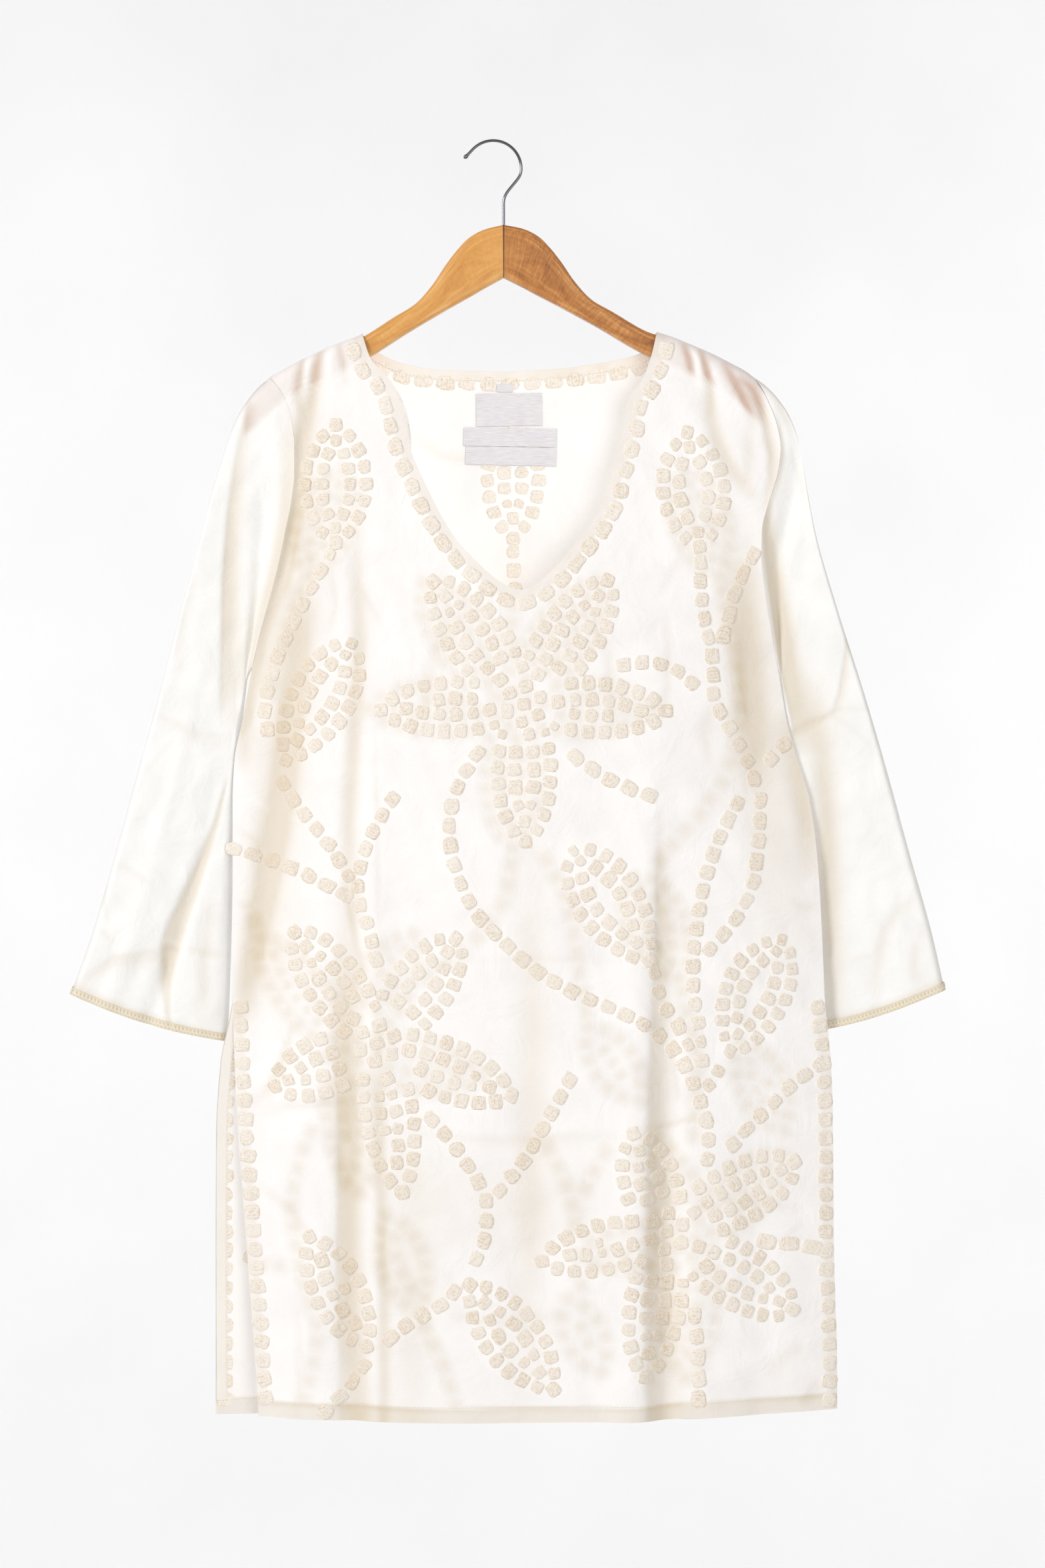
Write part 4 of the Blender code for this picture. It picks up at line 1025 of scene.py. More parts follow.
def stitchesPiece(name, lines, side, panel, above=0.0):
    # running stitches along lines on a panel, set end to end with a gap: each is a small spindle
    # of three square sections between two points. side is 1 on the outer face, -1 on the inner.
    middles = [spaced(line, int(pathLength(line) / stitch["pitch"]), False) for line in lines]
    tangents = np.vstack([np.gradient(middle, axis=0) for middle in middles])
    turn = np.arctan2(tangents[:, 1], tangents[:, 0])[:, None]
    fullness = np.array([0.75, 1.0, 0.75])[:, None]
    cross = np.array([(-1, 0), (0, 1), (1, 0), (0, -1)])
    u = np.concatenate([[-0.5], np.repeat([-0.34, 0.0, 0.34], 4), [0.5]]) * stitch["length"]
    v, h = [np.concatenate([[0], (fullness * cross[:, k]).ravel(), [0]]) for k in (0, 1)]
    x, z = placed(np.vstack(middles), u, v * stitch["width"] / 2, turn)
    lift = (garment["clothWall"] / 2 + above + h * stitch["height"]) * side
    ring = np.arange(4)
    caps = np.vstack([fan(0, 1 + ring)[:, [0, 2, 1]], fan(13, 9 + ring)])
    offsets = (np.arange(len(x)) * 14)[:, None, None]
    sets = [(faces + offsets).reshape(-1, faces.shape[1])
            for faces in (gridQuads(3, 4, True)[:, [0, 3, 2, 1]] + 1, caps)]
    if side * panel["sign"] < 0:
        sets = [faces[:, ::-1] for faces in sets]
    return newMesh(name, panelPoint(x, z, panel, lift), sets, sewing, 80)


def stripPiece(name, line, offsets, panel, lift, material):
    # a strip sewn along a line: offsets are mm from the line into the cloth, lift its middle's
    # height over the cloth's middle, on the inside if negative
    rows = np.stack([offsetLine(line, away) for away in offsets])
    x = rows[..., 0]
    z = np.minimum(rows[..., 1], shoulderZ(x) - strips["underSeam"])
    return sheetPiece(name, panelPoint(x, z, panel, lift), strips["wall"], material)


def edgeLine(panel, side, top, foot, count=110):
    # the panel's own side edge between two heights, run so that its cloth lies at +offsets
    z = np.linspace(top, foot, count)
    line = np.column_stack([smooth(panel["sides"], z)[0 if side < 0 else 1], z])
    return line if side > 0 else line[::-1]


def hemLine(panel, count=180):
    # the panel's lower edge, its hem table laid between its sides, run from right to left
    across = np.linspace(0.004, 0.996, count)
    height = smooth(panel["hem"], across)[0]
    left, right = smooth(panel["sides"], height)
    return np.column_stack([left + across * (right - left), height])[::-1]


def tubePiece(name, path, radii, sides, material):
    # a round section carried along a path in the hanger's plane, closed at both ends
    angle = np.arange(sides) * 2 * math.pi / sides
    flat = path[:, None, :] + acrossPath(path)[:, None, :] * (radii[:, None] * np.cos(angle))[..., None]
    rings = np.stack([flat[..., 0], radii[:, None] * np.sin(angle), flat[..., 1]], axis=-1)
    ends = np.array([[path[0, 0], 0, path[0, 1]], [path[-1, 0], 0, path[-1, 1]]])
    points = np.vstack([rings.reshape(-1, 3), ends])
    return newMesh(name, points, tubeFaces(len(path), sides, True), material, 70)


def clothMaterial(name, dark, light):
    # cotton voile, plain woven and pressed: matt, near white, warm where two layers lie together and, as
    # painted shade, in its creases.
    # Threads are about 0.3 mm apart; they are drawn at 0.9 mm so that they show.
    material = newMaterial(name, light, 0.86, Sheen_Weight=0.12, Sheen_Roughness=0.5)
    place = addNode(material, "ShaderNodeTexCoord", output="Object")
    behind, wood = [addNode(material, "ShaderNodeAttribute", output="Fac", attribute_name=read)
                    for read in ("showThroughAndCreaseShade", "woodBehind")]
    patches = addNode(material, "ShaderNodeTexNoise", {"Vector": place}, {"Scale": 26.0, "Detail": 4.0})
    base = addNode(material, "ShaderNodeValToRGB", {"Fac": patches}, stops=((0.35, dark), (0.65, light)))
    # the warm colour stands for the layers seen through and for painted shade in the creases
    ghost = addNode(material, "ShaderNodeMix", {"Factor": behind, "A": base}, {"B": linear("#DDD0B9")},
                    "Result", data_type="RGBA")
    tinted = addNode(material, "ShaderNodeMix", {"Factor": wood, "A": ghost}, {"B": linear("#BB8A6B")},
                     "Result", data_type="RGBA")
    threads = []
    for scale in ((70, 70, 1100), (1100, 70, 70)):
        stretched = addNode(material, "ShaderNodeMapping", {"Vector": place}, {"Scale": scale})
        threads.append(addNode(material, "ShaderNodeTexNoise", {"Vector": stretched},
                               {"Scale": 1.0, "Detail": 2.0}))
    weave = addNode(material, "ShaderNodeMath", {0: threads[0], 1: threads[1]}, operation="ADD")
    weaveBump = addNode(material, "ShaderNodeBump", {"Height": weave},
                        {"Strength": 0.35, "Distance": 0.00025})
    pressed = addNode(material, "ShaderNodeTexNoise", {"Vector": place},
                      {"Scale": 34.0, "Detail": 5.0, "Roughness": 0.55, "Distortion": 1.2})
    return lookOf(material, tinted, pressed, 0.4, 0.004, weaveBump)


def threadMaterial():
    # soft twisted cotton, chain stitched in three rows a block, round it or straight down it: matt,
    # a faint sheen, small loops, painted shade in the grooves and on blocks in a crease. A loop is
    # about 0.6 mm and is drawn at 1 mm so that it shows. Each block's dye differs a little.
    material = newMaterial("chainStitchCotton", "#EFE6D5", 0.75, Sheen_Weight=0.15)
    ringRow, straightRow, parallel, tint, sunk = [
        addNode(material, "ShaderNodeAttribute", output="Fac", attribute_name=read)
        for read in ("ringShare", "acrossShare", "parallel", "tint", "folded")]
    place = addNode(material, "ShaderNodeTexCoord", output="Object")
    row = addNode(material, "ShaderNodeMix", {"Factor": parallel, "A": ringRow, "B": straightRow},
                  output="Result")
    drift = addNode(material, "ShaderNodeTexNoise", {"Vector": place}, {"Scale": 330.0, "Detail": 1.0})
    loops = addNode(material, "ShaderNodeTexVoronoi", {"Vector": place}, {"Scale": 1000.0})
    fibre = addNode(material, "ShaderNodeTexNoise", {"Vector": place}, {"Scale": 500.0, "Detail": 3.0})
    # three rows are three cosine waves, 18.85 radians, over a block
    drifted = addNode(material, "ShaderNodeMath", {0: drift, 2: row}, {1: 0.5}, operation="MULTIPLY_ADD")
    phase = addNode(material, "ShaderNodeMath", {0: drifted}, {1: 18.85}, operation="MULTIPLY")
    wave = addNode(material, "ShaderNodeMath", {0: phase}, operation="COSINE")
    height = addNode(material, "ShaderNodeMath", {0: wave, 2: fibre}, {1: -0.15}, operation="MULTIPLY_ADD")
    looped = addNode(material, "ShaderNodeMath", {0: loops, 2: height}, {1: -0.32},
                     operation="MULTIPLY_ADD")
    # painted shade and dye: the colour follows the stitch height, darker in the grooves between rows and
    # loops, and each block's dye
    shade = addNode(material, "ShaderNodeMath", {0: tint, 2: looped}, {1: 0.2}, operation="MULTIPLY_ADD")
    colour = addNode(material, "ShaderNodeValToRGB", {"Fac": shade},
                     stops=((0.05, "#E0D0B9"), (0.3, "#EFE5D7"), (0.6, "#F7F1E8")))
    # painted shade: blocks that lie in a crease are mixed towards a darker tan
    shaded = addNode(material, "ShaderNodeMix", {"Factor": sunk, "A": colour}, {"B": linear("#D2BC99")},
                     "Result", data_type="RGBA")
    return lookOf(material, shaded, looped, 0.7, 0.0006)


def facingMaterial():
    # bias strip of the same cotton, doubled: a shade more beige, matt, with its own weave
    material = newMaterial("cottonBias", "#EFE8DC", 0.85)
    place = addNode(material, "ShaderNodeTexCoord", output="Object")
    turned = addNode(material, "ShaderNodeMapping", {"Vector": place},
                     {"Rotation": (0, 0.785, 0), "Scale": (900, 90, 90)})
    weave = addNode(material, "ShaderNodeTexNoise", {"Vector": turned}, {"Scale": 1.0, "Detail": 2.0})
    patches = addNode(material, "ShaderNodeTexNoise", {"Vector": place}, {"Scale": 60.0})
    colour = addNode(material, "ShaderNodeValToRGB", {"Fac": patches},
                     stops=((0.3, "#EFE7DD"), (0.7, "#F5F0E8")))
    return lookOf(material, colour, weave, 0.3, 0.0003)


def sewingMaterial():
    # spun polyester sewing thread, twisted: a low sheen, a shade darker than the cloth
    material = newMaterial("spunSewingThread", "#E9E0D0", 0.6, Sheen_Weight=0.15)
    place = addNode(material, "ShaderNodeTexCoord", output="Object")
    twist = addNode(material, "ShaderNodeTexNoise", {"Vector": place}, {"Scale": 1500.0})
    colour = addNode(material, "ShaderNodeValToRGB", {"Fac": twist},
                     stops=((0.3, "#E6DED0"), (0.7, "#F3EEE5")))
    return lookOf(material, colour)


def braidMaterial():
    # cotton braid, machine made and dull: sand coloured, with painted light on the raised strands and
    # painted shade between them
    material = newMaterial("cottonBraid", "#CDB68F", 0.7, Sheen_Weight=0.15)
    raised = addNode(material, "ShaderNodeAttribute", output="Fac", attribute_name="raised")
    place = addNode(material, "ShaderNodeTexCoord", output="Object")
    fibre = addNode(material, "ShaderNodeTexNoise", {"Vector": place}, {"Scale": 1100.0, "Detail": 3.0})
    # painted light and shade: the colour follows the strands' relief, lighter where they stand up
    mixed = addNode(material, "ShaderNodeMath", {0: fibre, 2: raised}, {1: 0.35}, operation="MULTIPLY_ADD")
    colour = addNode(material, "ShaderNodeValToRGB", {"Fac": mixed},
                     stops=((0.15, "#D0C1A2"), (0.6, "#E6DCC5"), (1.0, "#F2EBDD")))
    return lookOf(material, colour, fibre, 0.5, 0.0003)


def satinMaterial():
    # woven polyester satin label: cool pale grey, a soft shine, fine threads across
    material = newMaterial("wovenSatin", "#DEDCE2", 0.42, Sheen_Weight=0.1)
    place = addNode(material, "ShaderNodeTexCoord", output="Object")
    across = addNode(material, "ShaderNodeMapping", {"Vector": place}, {"Scale": (120, 120, 1400)})
    threads = addNode(material, "ShaderNodeTexNoise", {"Vector": across}, {"Scale": 1.0, "Detail": 2.0})
    colour = addNode(material, "ShaderNodeValToRGB", {"Fac": threads},
                     stops=((0.3, "#CFCDD1"), (0.7, "#E2E0E3")))
    return lookOf(material, colour, threads, 0.4, 0.0002)


def woodMaterial(name, dark, middle, light, figure):
    # lacquered beech, turned and sanded: grain runs along the arm, with short flecks, and
    # figure is how strongly it curls across. uv is mm along and mm round, over 100.
    material = newMaterial(name, middle, 0.38, IOR=1.5, Coat_Weight=0.5, Coat_Roughness=0.22)
    uv = addNode(material, "ShaderNodeUVMap", uv_map="surface")
    patterns = []
    for scale, values in (((2.2, 34.0, 1.0), {"Detail": 6.0, "Roughness": 0.6, "Distortion": 0.6}),
                          ((52.0, 15.0, 1.0), {"Detail": 3.0, "Distortion": 1.5}),
                          ((45.0, 260.0, 1.0), {"Detail": 2.0})):
        stretched = addNode(material, "ShaderNodeMapping", {"Vector": uv}, {"Scale": scale})
        patterns.append(addNode(material, "ShaderNodeTexNoise", {"Vector": stretched},
                                {"Scale": 1.0, **values}))
    grain, curl, fleck = patterns
    curled = addNode(material, "ShaderNodeMath", {0: curl, 2: grain}, {1: figure}, operation="MULTIPLY_ADD")
    flecked = addNode(material, "ShaderNodeMath", {0: fleck, 2: curled}, {1: 0.13},
                      operation="MULTIPLY_ADD")
    centre = 0.565 + 0.5 * figure       # where the three patterns lie on average
    colour = addNode(material, "ShaderNodeValToRGB", {"Fac": flecked},
                     stops=((centre - 0.22, dark), (centre, middle), (centre + 0.2, light)))
    # the glued joint at the start of the arm is a dark line half a millimetre wide
    alongArm = addNode(material, "ShaderNodeSeparateXYZ", {"Vector": uv})
    joint = addNode(material, "ShaderNodeMapRange", {"Value": alongArm},
                    {"From Min": 0.003, "From Max": 0.007, "To Min": 1.0, "To Max": 0.0})
    jointed = addNode(material, "ShaderNodeMix", {"Factor": joint, "A": colour}, {"B": linear("#5E3A1C")},
                      "Result", data_type="RGBA")
    return lookOf(material, jointed, fleck, 0.15, 0.0002)


def wireMaterial():
    # nickel-plated steel wire, drawn then plated: mirror grey with fine draw marks and a few rubs. Its base
    # colour is darker than the plating, a painted reflection of the dark room round it.
    material = newMaterial("platedSteelWire", "#77787C", 0.16, Metallic=1.0)
    place = addNode(material, "ShaderNodeTexCoord", output="Object")
    rubs = addNode(material, "ShaderNodeTexNoise", {"Vector": place}, {"Scale": 240.0, "Detail": 4.0})
    rough = addNode(material, "ShaderNodeMapRange", {"Value": rubs},
                    {"From Min": 0.3, "From Max": 0.7, "To Min": 0.1, "To Max": 0.26})
    shaderInput(material, "Roughness", rough)
    return material


voile = clothMaterial("cottonVoile", "#F9F7F6", "#FDFCFB")
sleeveVoile = clothMaterial("sleeveVoile", "#F7F7F5", "#FCFCFB")
thread, bias, sewing = threadMaterial(), facingMaterial(), sewingMaterial()
braid, satin, wire = braidMaterial(), satinMaterial(), wireMaterial()
honey = woodMaterial("beechHoney", "#CA8742", "#DFA254", "#ECB872", 0.2)
amber = woodMaterial("beechAmber", "#945827", "#BD7C3D", "#D79C5A", 0.5)
print("materials made")

# an arm of the hanger: top edge out and height, bottom edge out and height, share of thickness
armSections = ((0.0, -66.5, 0.0, -108.7, 1.0), (15.4, -70.0, 8.0, -112.9, 1.0),
               (27.6, -76.3, 15.9, -117.1, 1.0), (37.6, -86.4, 24.4, -121.9, 1.0),
               (46.6, -98.1, 33.4, -126.7, 1.0), (56.2, -112.4, 44.0, -132.5, 1.0),
               (70.0, -127.7, 57.2, -139.9, 1.0), (87.5, -138.3, 75.8, -150.5, 1.0),
               (115.0, -154.6, 104.4, -168.0, 1.0), (133.6, -160.7, 125.1, -178.6, 1.0),
               (151.1, -168.1, 142.0, -186.0, 1.0), (167.0, -175.5, 157.4, -193.5, 1.0),
               (182.9, -184.2, 172.8, -201.4, 0.98), (194.0, -194.2, 182.5, -209.5, 0.95),
               (201.5, -204.0, 191.0, -217.5, 0.9), (206.5, -214.5, 198.5, -224.5, 0.8),
               (208.5, -223.5, 205.0, -229.0, 0.45))
hanger = {"halfThick": 6.0, "jointGap": 0.01, "squareness": 4.4, "stations": 97, "ring": 40,
          "tipOut": 209.0, "restsFrom": 100.0}      # mm out from the stem: the tips, the cloth's rest

# the part of the body about the neck, in which the facing and the inner work lie
neckPart = {"x": 12.0, "lowZ": -375.0, "facingWide": 140.0, "workWide": 100.0}

# what shows through the cloth or makes it look denser, and painted crease shade, as shares of the warmer
# colour
tones = {
    "ghost": 0.33, "ghostSoft": 0.7,        # the work on the other layer, and how soft it looks
    "creaseShadeShare": 0.72, "creaseShadeFull": 3.3,          # painted shade in a crease, and mm of crease for the full shade
    "hem": 0.4, "hemHigh": 13.0,            # the doubled hem, then its turned edge
    "hemEdge": 0.25, "hemEdgeAt": 11.0, "hemEdgeWide": 2.2,
    "slit": 0.24, "slitWide": 9.0, "slitTop": -686.0,
    "band": 0.3, "bandWide": 9.5,           # the facing behind the neck
    "cuff": 0.3, "cuffFrom": 0.975,
    "armLeft": 0.40, "armRight": 0.60,      # the hanger's two woods
    "edge": 1.5,                            # mm over which a doubled edge fades
}


def softSquares(x, z, blocks, soften):
    # how much of each point lies over a block: 1 inside, fading over soften of its half size
    cover = np.zeros(x.shape)
    for cx, cz, turn, length, width in blocks:
        near = (np.abs(x - cx) < blockWork["farthest"]) & (np.abs(z - cz) < blockWork["farthest"])
        dx, dz = x[near] - cx, z[near] - cz
        u = np.abs(dx * math.cos(turn) + dz * math.sin(turn)) / (length / 2)
        v = np.abs(dz * math.cos(turn) - dx * math.sin(turn)) / (width / 2)
        reach = (u ** 4 + v ** 4) ** 0.25
        cover[near] = np.maximum(cover[near], np.clip((1 + soften - reach) / (2 * soften), 0, 1))
    return cover


def overHanger(x, z):
    # how much of each point lies over an arm of the hanger, soft at the arm's lower edge
    rows = np.array(armSections)
    out = np.abs(x - garment["stemX"])
    lowEdge = smooth(rows[:, [2, 3]], out)[0] + tilt(x)
    inside = np.clip((z - lowEdge + 3) / 6, 0, 1) * np.clip((hanger["tipOut"] - out) / 5, 0, 1)
    return inside * np.clip((out - hanger["restsFrom"]) / 8, 0, 1)


def paintedCreaseShade(x, z, creases):
    # painted shade in a crease: its depth over that of a full fold, as a share of the warmer colour
    return np.clip(creaseDepth(x, z, creases) / tones["creaseShadeFull"], 0, 1) * tones["creaseShadeShare"]


def dressPanel(name, panel, node, otherBlocks):
    # a panel's sheet, and on it the tones of the hem, slits, neck facing, other layer and hanger, and
    # painted shade in its creases
    grid = panelGrid(panel)
    piece = sheetPiece(name, grid, garment["clothWall"], voile)
    x, z = grid[..., 0], grid[..., 2]
    left, right = smooth(panel["sides"], z)
    ghosts = softSquares(x, z, otherBlocks, tones["ghostSoft"]) * tones["ghost"]
    overHem = z - smooth(panel["hem"], np.clip((x - left) / (right - left), 0, 1))[0]
    turnedEdge = np.exp(-((overHem - tones["hemEdgeAt"]) / tones["hemEdgeWide"]) ** 2)
    doubled = np.clip((tones["hemHigh"] - overHem) / tones["edge"], 0, 1) \
        * (tones["hem"] + tones["hemEdge"] * turnedEdge)
    inward = np.minimum(x - left, right - x)
    slit = np.clip((tones["slitWide"] - inward) / tones["edge"], 0, 1) \
        * np.clip((tones["slitTop"] - z) / 4, 0, 1) * tones["slit"]
    neck = along(panel["neck"], np.linspace(0, 1, 160))
    near = (z > neckPart["lowZ"]) & (np.abs(x - neckPart["x"]) < neckPart["facingWide"])
    gap = np.full(x.shape, 99.0)
    fromNeck = np.stack([x[near], z[near]], axis=-1)[:, None, :] - neck[None]
    gap[near] = np.linalg.norm(fromNeck, axis=2).min(axis=1)
    band = np.clip((tones["bandWide"] - gap) / tones["edge"], 0, 1) * tones["band"]
    # the creases add painted shade in the same warm colour as the layers seen through
    layersAndCreaseShade = np.maximum.reduce([ghosts, doubled, slit, band]) + paintedCreaseShade(x, z, panel["creases"])
    # the wood shows where the cloth touches it, which is where a shoulder crease is sunk
    touching = creaseDepth(x, z, panel["creases"][-garment["shoulderCreases"]:])
    wood = overHanger(x, z) * np.clip(0.3 + 0.5 * touching, 0, 1) \
        * np.where(x > 0, tones["armRight"], tones["armLeft"])
    wood = wood * np.clip((shoulderZ(x) - z) / 3, 0.3, 1)
    setAttribute(piece, "showThroughAndCreaseShade", np.tile(np.clip(layersAndCreaseShade, 0, 1).ravel(), 2))
    setAttribute(piece, "woodBehind", np.tile(wood.ravel(), 2))
    return finishPiece(piece, "cotton_voile", node)


frontMotifs = motifBlocks(frontLeaves, frontFlowers)
frontLines = stemBlocks(frontStems, frontMotifs)
frontEdges = np.vstack([neckRow(front, 10.6, 0.026, 0.974), slitRow(front, -1, 6.6, -690, -1000),
                        slitRow(front, 1, 6.6, -690, -1002)])
backMotifs = motifBlocks(backLeaves, backFlowers)
backLines = stemBlocks(backStems, backMotifs)
backEdges = np.vstack([neckRow(back, 10.2, 0.05, 0.95), slitRow(back, -1, 7.4, -692, -1004),
                       slitRow(back, 1, 7.4, -692, -1004)])
print("motifs laid out:", len(frontMotifs), len(frontLines), len(backMotifs), len(backLines))

frontCloth = dressPanel("frontCloth", front, "front_panel", np.vstack([backMotifs, backLines]))
backCloth = dressPanel("backCloth", back, "back_panel", np.vstack([frontMotifs, frontLines]))
print("front and back made")

for name, node, sleeve in (("sleeveLeftCloth", "sleeve_left", leftSleeve),
                           ("sleeveRightCloth", "sleeve_right", rightSleeve)):
    shares = np.linspace(0, 1, sleeveForm["rows"])
    grid = sleeveGrid(sleeve, shares)[:, ::-1 if sleeve["side"] > 0 else 1]
    piece = sheetPiece(name, grid, garment["clothWall"], sleeveVoile, closed=True)
    x, z = grid[..., 0], grid[..., 2]
    cuffHem = np.clip((shares[:, None] - tones["cuffFrom"]) / 0.01, 0, 1) * tones["cuff"]
    touching = np.clip(0.22 + 0.2 * creaseDepth(x, z, sleeve["creases"]), 0, 0.6)
    # the cuff's doubled hem, and painted shade in the sleeve's creases
    layersAndCreaseShade = cuffHem + paintedCreaseShade(x, z, sleeve["creases"])
    setAttribute(piece, "showThroughAndCreaseShade", np.tile(layersAndCreaseShade.ravel(), 2))
    setAttribute(piece, "woodBehind", np.tile((overHanger(x, z) * touching).ravel(), 2))
    finishPiece(piece, "cotton_voile", node)
print("sleeves made")

# the back's work shows on its inner face through the neck and past the slits
throughNeck = (np.abs(backMotifs[:, 0] - neckPart["x"]) < neckPart["workWide"]) \
    & (backMotifs[:, 1] > neckPart["lowZ"])
highLines = backLines[:, 1] > neckPart["lowZ"]
borders = np.vstack([backMotifs[throughNeck], backLines[highLines], backEdges])
workSets = (("frontFlowers", front, frontMotifs, False),
            ("frontStems", front, np.vstack([frontLines, frontEdges]), False),
            ("backFlowers", back, backMotifs[~throughNeck], False),
            ("backLines", back, backLines[~highLines], False),
            ("backBorders", back, borders, True))
embroidery = []
for seed, (name, panel, blocks, inner) in enumerate(workSets):
    piece = blocksPiece(name, blocks, panel, thread, inner, 31 + seed)
    embroidery.append(finishPiece(piece, "cotton_facing"))
print("embroidery made")

# strips turned to the inside: neck facings, hems and slit edges. Offsets are mm from the edge.
strips = {
    "facing": (0.5, 1.2, 3, 5, 7, 8.5), "hem": (0.3, 1, 4, 8, 12), "slit": (0.4, 1.2, 4, 7, 8.5),
    "wall": 0.4, "under": 0.35, "slitUnder": 0.9,
    "underSeam": 2.2,       # mm that a strip ends below the shoulder seam
    "tone": 0.3,
    "hemSewn": 12.2, "slitSewn": 7.6, "facingSewn": 7.6,
}
inside = -(garment["clothWall"] / 2 + strips["under"])


def clothStrip(name, line, offsets, panel, lift):
    # a turned strip of the panel's own cloth, in one even tone
    piece = stripPiece(name, line, offsets, panel, lift, voile)
    setAttribute(piece, "showThroughAndCreaseShade", np.full(len(piece.data.vertices), strips["tone"]))
    setAttribute(piece, "woodBehind", np.zeros(len(piece.data.vertices)))
    finishPiece(piece, "cotton_voile")


facingLines = {}
for where, panel in (("Front", front), ("Back", back)):
    facingLines[where] = along(panel["neck"], np.linspace(0.03, 0.97, 200))
    facing = stripPiece("facing" + where, facingLines[where], strips["facing"], panel, inside, bias)
    finishPiece(facing, "cotton_facing", "neck_facing_" + where.lower())
for where, panel in (("Front", front), ("Back", back)):
    clothStrip("hem" + where, hemLine(panel), strips["hem"], panel, inside)
for where, panel in (("Front", front), ("Back", back)):
    for hand, side in (("Left", -1), ("Right", 1)):
        clothStrip("slit" + where + hand, edgeLine(panel, side, -688, -1004), strips["slit"], panel,
                   inside - strips["slitUnder"])

slitSeams = [offsetLine(edgeLine(back, side, -690, -1002), strips["slitSewn"]) for side in (-1, 1)]
facingSeam = offsetLine(facingLines["Back"], strips["facingSewn"])
for where, lines, side, panel, above in (
        ("Front", [offsetLine(hemLine(front), strips["hemSewn"])], 1, front, 0.0),
        ("Back", [offsetLine(hemLine(back), strips["hemSewn"])], 1, back, 0.0),
        ("Slits", slitSeams, -1, back, 1.5),
        ("Facing", [facingSeam], -1, back, 0.6)):
    finishPiece(stitchesPiece("sewing" + where, lines, side, panel, above), "cotton_facing")
print("strips and sewing made")

# woven labels on the back's inner face, left plain: node, middle x, middle z, width, height, turn
labels = (("label_size", 9.0, -195.2, 13.0, 6.4, 0.0), ("label_main", 12.5, -212.6, 53.0, 26.0, 0.5),
          ("label_care_upper", 13.4, -234.6, 75.0, 14.5, -0.9),
          ("label_care_lower", 14.0, -249.6, 73.0, 14.5, -1.4))
labelForm = {"wall": 0.3, "off": 0.9, "curl": 0.35, "ripple": 0.12}
for node, middleX, middleZ, width, height, degrees in labels:
    across = np.linspace(-width / 2, width / 2, 49)[None, :]
    up = np.linspace(height / 2, -height / 2, 21)[:, None]
    x, z = placed(np.array([middleX, middleZ]), across, up, math.radians(degrees))
    # the free lower edge curls off the cloth and ripples a little along its width
    loose = 0.5 - up / height
    curl = labelForm["curl"] * loose ** 2 + labelForm["ripple"] * np.sin(across * 0.23 + height) * loose
    lift = -(garment["clothWall"] / 2 + labelForm["off"] + curl)
    grid = panelPoint(x, z, back, lift)
    label = sheetPiece(node.replace("_", "") + "Woven", grid, labelForm["wall"], satin)
    finishPiece(label, "label_satin", node)
print("labels made")

# cuff braids: a band round the cuff's outer face, its strands crossing as two slanting waves
cuffBraid = {"width": 6.0, "wall": 0.9, "off": 0.1, "strand": 3.1, "relief": 0.28, "rows": 9, "across": 130}
for name, node, sleeve in (("braidLeft", "cuff_trim_left", leftSleeve),
                           ("braidRight", "cuff_trim_right", rightSleeve)):
    longWay, shortWay = pathLength(sleeve["outer"]), pathLength(sleeve["inner"])
    ups = np.linspace(cuffBraid["width"], 0, cuffBraid["rows"])[:, None]
    down = np.linspace(0, 1, cuffBraid["across"] + 1)
    halves = []
    for part, onFront in ((down[None, :], True), (down[None, -2:0:-1], False)):
        height = longWay + (shortWay - longWay) * part
        halves.append(sleevePoint(sleeve, 1 - ups / height, part, onFront))
    grid = np.concatenate(halves, axis=1)[:, ::-1 if sleeve["side"] > 0 else 1]
    around = np.linalg.norm(np.roll(grid[0], -1, axis=0) - grid[0], axis=1)
    travel = np.cumsum(around) * 2 * math.pi / cuffBraid["strand"]
    travel = travel * round(travel[-1] / (2 * math.pi)) * 2 * math.pi / travel[-1]
    slant = (ups / cuffBraid["width"] - 0.5) * 2 * math.pi
    raised = np.maximum(np.sin(travel[None, :] + slant), np.sin(travel[None, :] - slant + 1.5))
    raised = raised * np.sin(math.pi * np.clip(ups / cuffBraid["width"], 0.06, 0.94))
    off = garment["clothWall"] / 2 + cuffBraid["off"] + cuffBraid["wall"] / 2
    grid = grid + gridNormals(grid, closed=True) * (off + cuffBraid["relief"] * raised)[..., None]
    piece = sheetPiece(name, grid, cuffBraid["wall"], braid, closed=True)
    setAttribute(piece, "raised", np.tile(raised.ravel(), 2) * 0.5 + 0.25)
    finishPiece(piece, "cotton_braid", node)
print("cuffs made")


